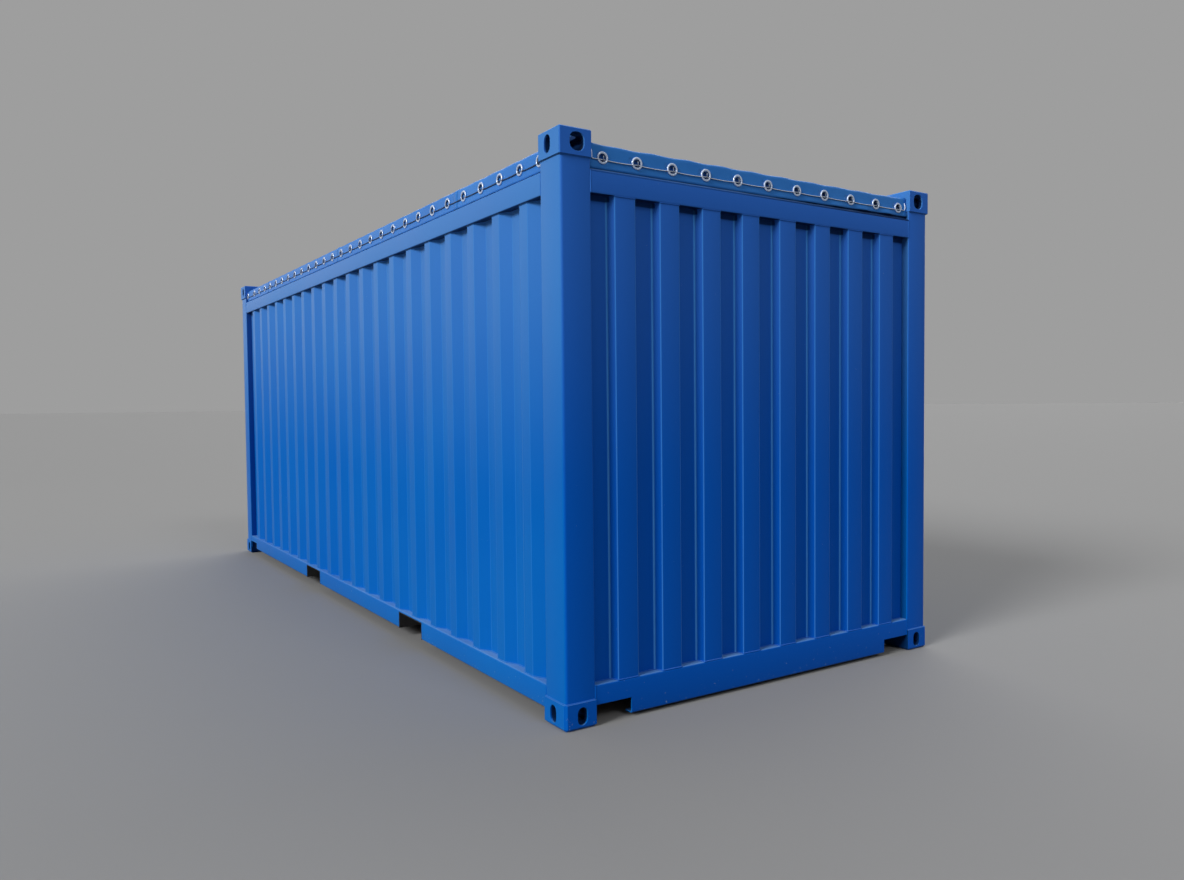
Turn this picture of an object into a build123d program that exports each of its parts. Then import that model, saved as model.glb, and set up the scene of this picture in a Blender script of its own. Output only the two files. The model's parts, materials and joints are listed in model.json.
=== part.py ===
"""Open-top freight container, twenty feet long, with a laced tarpaulin roof.

Millimetres. X runs along the container with the closed front end at +X and the doors at -X,
Z is up, and the origin is the middle of the footprint on the ground.
"""
import os

from build123d import *

os.makedirs("parts", exist_ok=True)

# Outside of the corner castings
length = 6058
width = 2438
height = 2591

# Corner castings
casting_length = 178
casting_width = 162
casting_height = 118
casting_plate = 28
casting_wall = 30
casting_back = 11
casting_edge_chamfer = 5
casting_foot_chamfer = 12
slot_from_end = 102.5
slot_from_side = 89.5
slot_length = 124.5
slot_width = 63.5
hand_hole_height = 79.5
hand_hole_width = 51
shield_hole_width = 74
shield_hole_radius = 30
hand_hole_sides = 12

# Frame members of pressed steel, set back behind the faces of the castings
frame_setback = 8
post_sheet = 6
post_bend = 14
front_lip = 62
rear_lip = 112
side_lip = 62

# Bottom side rails
side_rail_bottom = 60
side_rail_top = 168
side_rail_sheet = 6
side_rail_upper_flange = 62
side_rail_lower_flange = 40
rear_notch_length = 196
rear_notch_top = 118

# Front bottom rail and door sill
sill_bottom = 18
sill_top = 180
sill_sheet = 6
sill_upper_flange = 62
sill_lower_flange = 50
sill_notch_length = 195
sill_notch_top = 92

# Forklift pockets, open underneath
pocket_width = 345
pocket_sheet = 6
pocket_spacing = 2004
pocket_offset = 237

# Floor and the channels that carry it
floor_bottom = 160
floor_thickness = 28
floor_clearance = 2
channel_flange = 45
channel_sheet = 5
channel_pitch = 300
channel_pocket_clearance = 30

# Corrugated walls
wall_sheet = 2
side_wall_setback = 12
side_wall_depth = 36
side_rib = 72
side_slope = 68
side_recess = 70
side_first_recess = 72
front_wall_setback = 4
front_wall_depth = 40
front_rib = 112
front_slope = 18
front_pitch = 250

# Top rails, stepped back under the hem of the tarpaulin
top_rail_drop = 52
top_rail_upper_height = 113
top_rail_lower_height = 99
top_rail_slope = 12
top_rail_recess = 22
top_rail_depth = 70
top_rail_wall = 4

# Roof bows and tarpaulin
roof_crown = 35
bow_count = 5
bow_width = 50
bow_height = 32
tarp_sheet = 3
tarp_hem_gap = 2
tarp_rise_length = 600
tarp_casting_clearance = 3

# Eyelets, staples and the cable that laces the tarpaulin down
eyelet_pitch = 200
eyelet_drop = 52
eyelet_hole_width = 40
eyelet_hole_height = 34
front_corner_eyelet_gap = 72
side_corner_eyelet_gap = 28
side_first_eyelet_gap = 211
staple_bar = 5
staple_width = 6
staple_clear_height = 18
staple_reach = 20
cable_diameter = 5
cable_casting_gap = 15
cable_sides = 6
cable_over_tarp = 13

# Doors in the rear end
door_setback = 54
door_thickness = 50
door_gap = 8
door_stile = 100
door_rail = 150
door_panel_setback = 6
door_panel_depth = 30
door_panel_ribs = 5
door_panel_slope = 40
gasket_depth = 20

# Lock bars, their guides, cams and keepers
bar_diameter = 34
bar_standoff = 9
inner_bar_inset = 130
outer_bar_inset = 289
bar_below_sill_top = 40
cam_width = 54
cam_height = 32
cam_over_bar = 3
keeper_plate = 8
keeper_lug = 10
keeper_height = 56
gear_clearance = 0.3
guide_end_inset = 225
guide_above_handle = 270
guide_plate_width = 104
guide_plate = 6
guide_strap = 6
guide_height = 40
guide_corner = 6

# Door handles and their catches
handle_length = 430
handle_thickness = 10
handle_blade = 36
handle_hub_height = 60
handle_corner = 9
inner_handle_height = 1210
outer_handle_height = 1040
catch_width = 60
catch_height = 90

# Door hinges
hinge_count = 4
hinge_end_inset = 165
hinge_pin_diameter = 24
hinge_pin_sides = 8
hinge_pin_length = 120
hinge_pin_inset = 17
hinge_pin_standoff = 14
hinge_blade_width = 130
hinge_blade_height = 56
hinge_blade_thickness = 10
hinge_lug_height = 24

# Planes that several members share
end_face = length / 2 - frame_setback
side_face = width / 2 - frame_setback
inner_x = length / 2 - casting_length
inner_y = width / 2 - casting_width
post_bottom = casting_height
post_top = height - casting_height
top_rail_top = height - top_rail_drop
top_rail_step = top_rail_top - top_rail_upper_height
top_rail_bottom = top_rail_step - top_rail_lower_height
tarp_end = end_face - top_rail_recess
tarp_side = side_face - top_rail_recess
tarp_hem = top_rail_step + top_rail_slope + tarp_hem_gap
eyelet_height = top_rail_top - eyelet_drop
front_pocket_x = pocket_offset + pocket_spacing / 2
rear_pocket_x = pocket_offset - pocket_spacing / 2
door_face = end_face - door_setback
ENDS = (("front", 1), ("rear", -1))
SIDES = (("left", 1), ("right", -1))


def save(piece, name):
    """Label a finished piece and write it to its own file."""
    piece.part.label = name
    export_step(piece.part, f"parts/{name}.step")


def inner_side(sign):
    """Side of a line of bends on which its sheet thickness lies, for a mirrored line."""
    return Side.RIGHT if sign > 0 else Side.LEFT


def hand_hole(spacing_across, spacing_up, radius):
    """Outline round few-sided corners that stand the given spacings apart."""
    with GridLocations(spacing_across, spacing_up, 2 if spacing_across else 1, 2):
        RegularPolygon(radius, hand_hole_sides)
    make_hull()


# Corner castings: hollow boxes with a lifting slot and two hand holes each
for level, level_sign in (("bottom", -1), ("top", 1)):
    plate_face = 0 if level_sign < 0 else height
    casting_mid = plate_face - level_sign * casting_height / 2
    for end, sx in ENDS:
        for side, sy in SIDES:
            casting_x = sx * (length - casting_length) / 2
            casting_y = sy * (width - casting_width) / 2
            cavity_x = casting_x - sx * (casting_wall - casting_back) / 2
            cavity_y = casting_y - sy * (casting_wall - casting_back) / 2
            cavity_z = casting_mid - level_sign * (casting_plate - casting_back) / 2
            slot_x = sx * (length / 2 - slot_from_end)
            slot_y = sy * (width / 2 - slot_from_side)
            with BuildPart() as casting:
                with Locations((casting_x, casting_y, casting_mid)):
                    Box(casting_length, casting_width, casting_height)
                plate = casting.faces().sort_by(Axis.Z)[-1 if level_sign > 0 else 0]
                outer_end = casting.faces().sort_by(Axis.X)[-1 if sx > 0 else 0]
                outer_side = casting.faces().sort_by(Axis.Y)[-1 if sy > 0 else 0]
                worn = plate.edges() + [e for e in outer_end.edges() if e in outer_side.edges()]
                chamfer(worn, casting_foot_chamfer if level_sign < 0 else casting_edge_chamfer)
                with Locations((cavity_x, cavity_y, cavity_z)):
                    Box(
                        casting_length - casting_wall - casting_back,
                        casting_width - casting_wall - casting_back,
                        casting_height - casting_plate - casting_back,
                        mode=Mode.SUBTRACT,
                    )
                with BuildSketch(Plane.XY.offset(plate_face)):
                    with Locations((slot_x, slot_y)):
                        SlotOverall(slot_length, slot_width)
                extrude(amount=-level_sign * casting_plate, mode=Mode.SUBTRACT)
                with BuildSketch(Plane.YZ.offset(sx * length / 2)):
                    with Locations((slot_y, casting_mid)):
                        if level_sign > 0:
                            hand_hole(
                                shield_hole_width - 2 * shield_hole_radius,
                                hand_hole_height - 2 * shield_hole_radius,
                                shield_hole_radius,
                            )
                        else:
                            hand_hole(0, hand_hole_height - hand_hole_width, hand_hole_width / 2)
                extrude(amount=-sx * casting_wall, mode=Mode.SUBTRACT)
                with BuildSketch(Plane.XZ.offset(-sy * width / 2)):
                    with Locations((slot_x, casting_mid)):
                        hand_hole(0, hand_hole_height - hand_hole_width, hand_hole_width / 2)
                extrude(amount=sy * casting_wall, mode=Mode.SUBTRACT)
            save(casting, f"{end}_{side}_{level}_casting")

# Corner posts: one pressed sheet folded round the corner, with lips that carry the wall edges
for end, sx in ENDS:
    end_lip = front_lip if sx > 0 else rear_lip
    for side, sy in SIDES:
        with BuildPart() as post:
            with BuildSketch(Plane.XY.offset(post_bottom)) as section:
                with BuildLine():
                    Polyline(
                        (sx * inner_x, sy * (side_face - side_lip)),
                        (sx * inner_x, sy * side_face),
                        (sx * end_face, sy * side_face),
                        (sx * end_face, sy * inner_y),
                        (sx * (end_face - end_lip), sy * inner_y),
                    )
                    offset(amount=post_sheet, side=inner_side(sx * sy), kind=Kind.INTERSECTION)
                make_face()
                corner = (sx * end_face, sy * side_face)
                fillet(section.vertices().sort_by_distance(corner)[0], post_bend)
                fillet(section.vertices().sort_by_distance(corner)[0], post_bend - post_sheet)
            extrude(amount=post_top - post_bottom)
        save(post, f"{end}_{side}_post")

# Bottom side rails: channels open to the inside, cut out for the pockets and beside the rear casting
pocket_clear_top = floor_bottom - pocket_sheet
for side, sy in SIDES:
    with BuildPart() as bottom_rail:
        with BuildSketch(Plane.YZ.offset(-inner_x)):
            with BuildLine():
                Polyline(
                    (sy * (side_face - side_rail_lower_flange), side_rail_bottom),
                    (sy * side_face, side_rail_bottom),
                    (sy * side_face, side_rail_top),
                    (sy * (side_face - side_rail_upper_flange), side_rail_top),
                )
                offset(amount=side_rail_sheet, side=inner_side(-sy), kind=Kind.INTERSECTION)
            make_face()
        extrude(amount=2 * inner_x)
        with BuildSketch(Plane.XZ):
            for pocket_x in (front_pocket_x, rear_pocket_x):
                with Locations((pocket_x, side_rail_bottom)):
                    Rectangle(
                        pocket_width + 2 * pocket_sheet,
                        floor_bottom - side_rail_bottom,
                        align=(Align.CENTER, Align.MIN),
                    )
            with Locations((-inner_x, side_rail_bottom)):
                Rectangle(
                    rear_notch_length,
                    rear_notch_top - side_rail_bottom,
                    align=(Align.MIN, Align.MIN),
                )
        extrude(amount=width, both=True, mode=Mode.SUBTRACT)
    save(bottom_rail, f"{side}_bottom_rail")

# Front bottom rail and door sill: channels open to the inside, cut out beside the castings
for name, sx, rail_face in (("front_bottom_rail", 1, end_face), ("rear_door_sill", -1, door_face)):
    with BuildPart() as end_rail:
        with BuildSketch(Plane.XZ.offset(-inner_y)):
            with BuildLine():
                Polyline(
                    (sx * (rail_face - sill_lower_flange), sill_bottom),
                    (sx * rail_face, sill_bottom),
                    (sx * rail_face, sill_top),
                    (sx * (rail_face - sill_upper_flange), sill_top),
                )
                offset(amount=sill_sheet, side=inner_side(-sx), kind=Kind.INTERSECTION)
            make_face()
        extrude(amount=2 * inner_y)
        with BuildSketch(Plane.YZ):
            for sy in (1, -1):
                with Locations((sy * inner_y, sill_bottom)):
                    Rectangle(
                        2 * sill_notch_length,
                        sill_notch_top - sill_bottom,
                        align=(Align.CENTER, Align.MIN),
                    )
        extrude(amount=length, both=True, mode=Mode.SUBTRACT)
    save(end_rail, name)

# Forklift pockets: folded tunnels that run across under the floor
with BuildPart() as pockets:
    with BuildSketch(Plane.XZ.offset(-side_face)):
        for pocket_x in (front_pocket_x, rear_pocket_x):
            with Locations((pocket_x, side_rail_bottom)):
                Rectangle(
                    pocket_width + 2 * pocket_sheet,
                    floor_bottom - side_rail_bottom,
                    align=(Align.CENTER, Align.MIN),
                )
                Rectangle(
                    pocket_width,
                    pocket_clear_top - side_rail_bottom,
                    align=(Align.CENTER, Align.MIN),
                    mode=Mode.SUBTRACT,
                )
    extrude(amount=2 * side_face)
save(pockets, "forklift_pockets")

# Floor channels that stand on the side rails, none where a pocket passes
floor_end_front = end_face - max(front_lip, sill_upper_flange) - floor_clearance
floor_end_rear = -min(end_face - rear_lip, door_face - sill_upper_flange) + floor_clearance
floor_reach = side_face - max(side_lip, side_rail_upper_flange) - floor_clearance
channel_bottom = side_rail_bottom + side_rail_sheet
channel_reach = side_face - side_rail_sheet
pocket_keep_out = pocket_width / 2 + pocket_sheet + channel_flange + channel_pocket_clearance
channel_count = int(2 * (inner_x - channel_flange) // channel_pitch) + 1
channel_start = -(channel_count - 1) * channel_pitch / 2
channel_places = [
    channel_start + i * channel_pitch
    for i in range(channel_count)
    if abs(channel_start + i * channel_pitch - front_pocket_x) > pocket_keep_out
    and abs(channel_start + i * channel_pitch - rear_pocket_x) > pocket_keep_out
]
with BuildPart() as channels:
    with BuildSketch(Plane.XZ.offset(-channel_reach)):
        for channel_x in channel_places:
            with Locations((channel_x, channel_bottom)):
                Rectangle(
                    channel_flange,
                    floor_bottom - channel_bottom,
                    align=(Align.CENTER, Align.MIN),
                )
            with Locations((channel_x + channel_sheet, channel_bottom + channel_sheet)):
                Rectangle(
                    channel_flange,
                    floor_bottom - channel_bottom - 2 * channel_sheet,
                    align=(Align.CENTER, Align.MIN),
                    mode=Mode.SUBTRACT,
                )
    extrude(amount=2 * channel_reach)
save(channels, "floor_channels")

# Floor of plywood sheets
with BuildPart() as floor:
    with BuildSketch(Plane.XY.offset(floor_bottom)):
        with Locations(((floor_end_front + floor_end_rear) / 2, 0)):
            Rectangle(floor_end_front - floor_end_rear, 2 * floor_reach)
    extrude(amount=floor_thickness)
save(floor, "floor")


def corrugation(start, end, first_rib, pitch, rib, slope, ribs, outer, depth):
    """Points of a trapezoid corrugation along a wall: ribs stand out at outer, recesses lie depth in."""
    points = [(start, outer - depth)]
    for i in range(ribs):
        rib_start = first_rib + i * pitch
        points += [
            (rib_start - slope, outer - depth),
            (rib_start, outer),
            (rib_start + rib, outer),
            (rib_start + rib + slope, outer - depth),
        ]
    return points + [(end, outer - depth)]


# Side walls: corrugated sheets whose recesses meet the posts
side_pitch = side_rib + side_recess + 2 * side_slope
side_ribs = int((2 * inner_x - side_first_recess) // side_pitch)
side_first_rib = -inner_x + side_first_recess + side_slope
side_line = corrugation(
    -inner_x,
    inner_x,
    side_first_rib,
    side_pitch,
    side_rib,
    side_slope,
    side_ribs,
    side_face - side_wall_setback,
    side_wall_depth,
)
for side, sy in SIDES:
    with BuildPart() as side_wall:
        with BuildSketch(Plane.XY.offset(side_rail_top)):
            with BuildLine():
                Polyline(*[(-x, sy * y) for x, y in side_line])
                offset(amount=wall_sheet, side=inner_side(-sy), kind=Kind.INTERSECTION)
            make_face()
        extrude(amount=top_rail_bottom - side_rail_top)
    save(side_wall, f"{side}_wall")

# Front wall, with steeper ribs
front_ribs = int(2 * inner_y // front_pitch)
front_first_rib = -(front_ribs - 1) * front_pitch / 2 - front_rib / 2
front_line = corrugation(
    -inner_y,
    inner_y,
    front_first_rib,
    front_pitch,
    front_rib,
    front_slope,
    front_ribs,
    end_face - front_wall_setback,
    front_wall_depth,
)
with BuildPart() as front_wall:
    with BuildSketch(Plane.XY.offset(sill_top)):
        with BuildLine():
            Polyline(*[(x, y) for y, x in front_line])
            offset(amount=wall_sheet, side=Side.LEFT, kind=Kind.INTERSECTION)
        make_face()
    extrude(amount=top_rail_bottom - sill_top)
save(front_wall, "front_wall")


def top_rail_outline(face, sign, lower_setback, depth):
    """Corners of a top rail's section: lower face, step under the hem, recessed upper face and back."""
    return [
        (sign * (face - lower_setback), top_rail_bottom),
        (sign * (face - lower_setback), top_rail_step),
        (sign * (face - top_rail_recess), top_rail_step + top_rail_slope),
        (sign * (face - top_rail_recess), top_rail_top),
        (sign * (face - depth), top_rail_top),
        (sign * (face - depth), top_rail_bottom),
    ]


# Top side rails: hollow sections between the top castings
for side, sy in SIDES:
    with BuildPart() as top_rail:
        with BuildSketch(Plane.YZ.offset(-inner_x)):
            with BuildLine():
                Polyline(*top_rail_outline(side_face, sy, 0, top_rail_depth), close=True)
            make_face()
            offset(amount=-top_rail_wall, kind=Kind.INTERSECTION, mode=Mode.SUBTRACT)
        extrude(amount=2 * inner_x)
    save(top_rail, f"{side}_top_rail")

# Front top rail, and the rear header whose lower face is level with the doors
header_depth = door_setback + door_thickness
for name, sx, lower_setback, depth in (
    ("front_top_rail", 1, 0, top_rail_depth),
    ("rear_header", -1, door_setback, header_depth),
):
    with BuildPart() as end_top_rail:
        with BuildSketch(Plane.XZ.offset(-inner_y)):
            with BuildLine():
                Polyline(*top_rail_outline(end_face, sx, lower_setback, depth), close=True)
            make_face()
            offset(amount=-top_rail_wall, kind=Kind.INTERSECTION, mode=Mode.SUBTRACT)
        extrude(amount=2 * inner_y)
    save(end_top_rail, name)

# Roof bows: shallow arches from rail to rail that carry the tarpaulin
bow_reach = side_face - top_rail_depth
bow_spacing = 2 * inner_x / (bow_count + 1)
bow_start = -(bow_count - 1) * bow_spacing / 2
with BuildPart() as bows:
    for i in range(bow_count):
        with BuildSketch(Plane.YZ.offset(bow_start + i * bow_spacing - bow_width / 2)):
            with BuildLine():
                crown = ThreePointArc(
                    (-tarp_side, top_rail_top),
                    (0, top_rail_top + roof_crown),
                    (tarp_side, top_rail_top),
                )
                Polyline(
                    crown @ 1,
                    (tarp_side, top_rail_top - bow_height),
                )
                ThreePointArc(
                    (tarp_side, top_rail_top - bow_height),
                    (0, top_rail_top + roof_crown - bow_height),
                    (-tarp_side, top_rail_top - bow_height),
                )
                Line((-tarp_side, top_rail_top - bow_height), crown @ 0)
            make_face()
            with Locations((0, top_rail_top)):
                Rectangle(2 * bow_reach, 2 * top_rail_depth + 2 * roof_crown, mode=Mode.INTERSECT)
        extrude(amount=bow_width)
save(bows, "roof_bows")

# Tarpaulin: a crowned sheet with a skirt on each side, cut out at the castings and holed at the eyelets
front_corner_eyelet = inner_y - front_corner_eyelet_gap
front_eyelets_each_side = int((front_corner_eyelet - eyelet_pitch / 2) // eyelet_pitch)
front_eyelets = [i * eyelet_pitch for i in range(-front_eyelets_each_side, front_eyelets_each_side + 1)]
front_eyelets += [-front_corner_eyelet, front_corner_eyelet]
side_first_eyelet = inner_x - side_first_eyelet_gap
side_corner_eyelet = inner_x - side_corner_eyelet_gap
side_eyelet_count = int(2 * side_first_eyelet // eyelet_pitch) + 1
side_eyelets = [side_first_eyelet - i * eyelet_pitch for i in range(side_eyelet_count)]
side_eyelets += [side_corner_eyelet, -side_corner_eyelet]


def hood(grow):
    """Solid under the tarpaulin, grown outwards: an arch along the roof cut by its rise towards the ends."""
    end_reach = tarp_end + grow
    side_reach = tarp_side + grow
    edge_height = top_rail_top + grow
    with BuildPart() as filled:
        with BuildSketch(Plane.YZ.offset(-end_reach)):
            with BuildLine():
                arch = ThreePointArc(
                    (-side_reach, edge_height),
                    (0, edge_height + roof_crown),
                    (side_reach, edge_height),
                )
                Polyline(arch @ 1, (side_reach, tarp_hem), (-side_reach, tarp_hem), arch @ 0)
            make_face()
        extrude(amount=2 * end_reach)
        with BuildSketch(Plane.XZ.offset(-side_reach)):
            with BuildLine():
                Polyline(
                    (-end_reach, tarp_hem),
                    (-end_reach, edge_height),
                    (-end_reach + tarp_rise_length, edge_height + roof_crown),
                    (end_reach - tarp_rise_length, edge_height + roof_crown),
                    (end_reach, edge_height),
                    (end_reach, tarp_hem),
                    close=True,
                )
            make_face()
        extrude(amount=2 * side_reach, mode=Mode.INTERSECT)
    return filled.part


outer_hood = hood(tarp_sheet)
inner_hood = hood(0)
with BuildPart() as tarpaulin:
    add(outer_hood)
    add(inner_hood, mode=Mode.SUBTRACT)
    with BuildSketch(Plane.XY.offset(tarp_hem)):
        with GridLocations(length, width, 2, 2):
            Rectangle(
                2 * (casting_length + tarp_casting_clearance),
                2 * (casting_width + tarp_casting_clearance),
            )
    extrude(amount=casting_height, mode=Mode.SUBTRACT)
    with BuildSketch(Plane.YZ):
        for eyelet_y in front_eyelets:
            with Locations((eyelet_y, eyelet_height)):
                Rectangle(eyelet_hole_width, eyelet_hole_height)
    extrude(amount=length, both=True, mode=Mode.SUBTRACT)
    with BuildSketch(Plane.XZ):
        for eyelet_x in side_eyelets:
            with Locations((eyelet_x, eyelet_height)):
                Rectangle(eyelet_hole_width, eyelet_hole_height)
    extrude(amount=width, both=True, mode=Mode.SUBTRACT)
save(tarpaulin, "tarpaulin")

# Staples on the top rails, one through each eyelet
staple_height = eyelet_height - (eyelet_hole_height - staple_clear_height - 2 * staple_bar) / 2
staple_outer = staple_clear_height + 2 * staple_bar


def staples(plane, face, sign, places):
    """U-shaped bars that stand out from a rail's upper face, one at each place along it."""
    with BuildPart() as bars:
        for place in places:
            with BuildSketch(plane.offset(place - staple_width / 2)):
                with Locations((sign * (face + staple_reach / 2), staple_height)):
                    Rectangle(staple_reach, staple_outer)
                with Locations((sign * (face + (staple_reach - staple_bar) / 2), staple_height)):
                    Rectangle(staple_reach - staple_bar, staple_clear_height, mode=Mode.SUBTRACT)
            extrude(amount=staple_width)
    return bars


for end, sx in ENDS:
    save(staples(Plane.XZ, tarp_end, sx, front_eyelets), f"{end}_tie_staples")
for side, sy in SIDES:
    save(staples(Plane.YZ, tarp_side, sy, side_eyelets), f"{side}_tie_staples")

# Lacing cable: one closed loop through the staples that climbs over the tarpaulin beside each casting
cable_offset = tarp_sheet + (staple_reach - staple_bar - tarp_sheet) / 2
cable_end = tarp_end + cable_offset
cable_side = tarp_side + cable_offset
cable_height = staple_height - staple_clear_height / 2 + cable_diameter / 2
cable_high = top_rail_top + tarp_sheet + cable_over_tarp
cable_x = inner_x - cable_casting_gap
cable_y = inner_y - cable_casting_gap
with BuildPart() as cable:
    with BuildLine() as cable_line:
        Polyline(
            (cable_end, 0, cable_height),
            (cable_end, -cable_y, cable_height),
            (cable_end, -cable_y, cable_high),
            (cable_x, -cable_y, cable_high),
            (cable_x, -cable_side, cable_high),
            (cable_x, -cable_side, cable_height),
            (-cable_x, -cable_side, cable_height),
            (-cable_x, -cable_side, cable_high),
            (-cable_x, -cable_y, cable_high),
            (-cable_end, -cable_y, cable_high),
            (-cable_end, -cable_y, cable_height),
            (-cable_end, 0, cable_height),
        )
    with BuildSketch(Plane.XZ):
        with Locations((cable_end, cable_height)):
            RegularPolygon(cable_diameter / 2, cable_sides)
    sweep(path=cable_line.line, transition=Transition.RIGHT)
    mirror(about=Plane.XZ)
save(cable, "lacing_cable")

# Doors: a welded tube frame round a sheet with level corrugations, closed
leaf_bottom = sill_top + door_gap
leaf_top = top_rail_bottom - door_gap
leaf_inner = door_gap / 2
leaf_outer = inner_y - door_gap
panel_bottom = leaf_bottom + door_rail
panel_top = leaf_top - door_rail
panel_pitch = (panel_top - panel_bottom) / door_panel_ribs
panel_rib = panel_pitch / 2 - door_panel_slope
panel_line = corrugation(
    panel_bottom,
    panel_top,
    panel_bottom + panel_pitch / 4 + door_panel_slope / 2,
    panel_pitch,
    panel_rib,
    door_panel_slope,
    door_panel_ribs,
    door_face - door_panel_setback,
    door_panel_depth,
)
for side, sy in SIDES:
    with BuildPart() as door:
        with BuildSketch(Plane.YZ.offset(-door_face)):
            with Locations((sy * (leaf_inner + leaf_outer) / 2, (leaf_bottom + leaf_top) / 2)):
                Rectangle(leaf_outer - leaf_inner, leaf_top - leaf_bottom)
                Rectangle(
                    leaf_outer - leaf_inner - 2 * door_stile,
                    panel_top - panel_bottom,
                    mode=Mode.SUBTRACT,
                )
        extrude(amount=door_thickness)
        with BuildSketch(Plane.XZ.offset(-sy * (leaf_inner + door_stile))):
            with BuildLine():
                Polyline(*[(-x, z) for z, x in panel_line])
                offset(amount=wall_sheet, side=Side.RIGHT, kind=Kind.INTERSECTION)
            make_face()
        extrude(amount=-sy * (leaf_outer - leaf_inner - 2 * door_stile))
    save(door, f"{side}_door")

# Rubber seal in the gap round both doors
with BuildPart() as gasket:
    with BuildSketch(Plane.YZ.offset(-door_face)):
        with Locations((0, (sill_top + top_rail_bottom) / 2)):
            Rectangle(2 * inner_y, top_rail_bottom - sill_top)
        for sy in (1, -1):
            with Locations((sy * (leaf_inner + leaf_outer) / 2, (leaf_bottom + leaf_top) / 2)):
                Rectangle(leaf_outer - leaf_inner, leaf_top - leaf_bottom, mode=Mode.SUBTRACT)
    extrude(amount=gasket_depth)
save(gasket, "door_gasket")

# Lock bars with a cam at each end
bar_x = -(door_face + bar_standoff + bar_diameter / 2)
bar_seat = bar_diameter + 2 * gear_clearance
inner_bar_y = leaf_inner + inner_bar_inset
outer_bar_y = leaf_outer - outer_bar_inset
lower_end_height = sill_top - bar_below_sill_top
upper_end_height = (top_rail_bottom + top_rail_step) / 2
cam_depth = bar_standoff + bar_diameter + cam_over_bar - keeper_plate - gear_clearance
for side, sy in SIDES:
    with BuildPart() as bars:
        for bar_y in (inner_bar_y, outer_bar_y):
            with BuildSketch(Plane.XY.offset(lower_end_height)):
                with Locations((bar_x, sy * bar_y)):
                    Circle(bar_diameter / 2)
            extrude(amount=upper_end_height - lower_end_height)
            for cam_z in (lower_end_height, upper_end_height):
                with BuildSketch(Plane.XY.offset(cam_z - cam_height / 2)):
                    with Locations((-(door_face + keeper_plate + gear_clearance), sy * bar_y)):
                        Rectangle(cam_depth, cam_width, align=(Align.MAX, Align.CENTER))
                extrude(amount=cam_height)
    save(bars, f"{side}_lock_bars")

# Keepers on the sill and the header, one round each cam
with BuildPart() as keepers:
    for sy in (1, -1):
        for bar_y in (inner_bar_y, outer_bar_y):
            for cam_z in (lower_end_height, upper_end_height):
                with BuildSketch(Plane.XY.offset(cam_z - keeper_height / 2)):
                    with Locations((-door_face, sy * bar_y)):
                        Rectangle(
                            bar_standoff + bar_diameter,
                            cam_width + 2 * gear_clearance + 2 * keeper_lug,
                            align=(Align.MAX, Align.CENTER),
                        )
                    with Locations((-door_face - keeper_plate, sy * bar_y)):
                        Rectangle(
                            bar_standoff + bar_diameter,
                            cam_width + 2 * gear_clearance,
                            align=(Align.MAX, Align.CENTER),
                            mode=Mode.SUBTRACT,
                        )
                extrude(amount=keeper_height)
save(keepers, "cam_keepers")

# Guides: straps with two feet that hold the lock bars to the doors
guide_reach = bar_standoff + bar_diameter + gear_clearance + guide_strap
guide_heights = (
    leaf_bottom + guide_end_inset,
    inner_handle_height + guide_above_handle,
    leaf_top - guide_end_inset,
)
with BuildPart() as guides:
    for sy in (1, -1):
        for bar_y in (inner_bar_y, outer_bar_y):
            for guide_z in guide_heights:
                with BuildSketch(Plane.XY.offset(guide_z - guide_height / 2)) as strap:
                    with Locations((-door_face, sy * bar_y)):
                        Rectangle(guide_reach, bar_seat + 2 * guide_strap, align=(Align.MAX, Align.CENTER))
                    chamfer(strap.vertices().group_by(Axis.X)[0], guide_corner)
                    with Locations((-door_face, sy * bar_y)):
                        Rectangle(guide_plate, guide_plate_width, align=(Align.MAX, Align.CENTER))
                        Rectangle(
                            guide_reach - guide_strap,
                            bar_seat,
                            align=(Align.MAX, Align.CENTER),
                            mode=Mode.SUBTRACT,
                        )
                extrude(amount=guide_height)
save(guides, "lock_bar_guides")

# Handles: a hub on each lock bar with a flat lever that lies along the door
handle_face = bar_x - bar_seat / 2
handle_rows = ((inner_bar_y, inner_handle_height, 1), (outer_bar_y, outer_handle_height, -1))
with BuildPart() as handles:
    for sy in (1, -1):
        for bar_y, handle_z, turn in handle_rows:
            with BuildSketch(Plane.XY.offset(handle_z - handle_hub_height / 2)):
                with Locations((bar_x, sy * bar_y)):
                    Rectangle(bar_seat + 2 * guide_strap, bar_seat + 2 * guide_strap)
                    Rectangle(bar_seat, bar_seat, mode=Mode.SUBTRACT)
            extrude(amount=handle_hub_height)
            with BuildSketch(Plane.YZ.offset(handle_face)) as lever:
                with Locations((sy * (bar_y + turn * handle_length / 2), handle_z)):
                    Rectangle(handle_length, handle_blade)
                chamfer(lever.vertices(), handle_corner)
            extrude(amount=-handle_thickness)
save(handles, "door_handles")

# Catches on the doors that hold the free ends of the handles
with BuildPart() as catches:
    for sy in (1, -1):
        for bar_y, handle_z, turn in handle_rows:
            catch_y = sy * (bar_y + turn * (handle_length - catch_width))
            with BuildSketch(Plane.XZ.offset(-catch_y - catch_width / 2)):
                with Locations((-door_face, handle_z)):
                    Rectangle(
                        handle_thickness + bar_standoff + bar_diameter,
                        catch_height,
                        align=(Align.MAX, Align.CENTER),
                    )
                with Locations((handle_face + gear_clearance, handle_z)):
                    Rectangle(
                        2 * handle_thickness,
                        handle_blade + 2 * gear_clearance,
                        align=(Align.MAX, Align.CENTER),
                        mode=Mode.SUBTRACT,
                    )
            extrude(amount=catch_width)
save(catches, "handle_catches")

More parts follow.
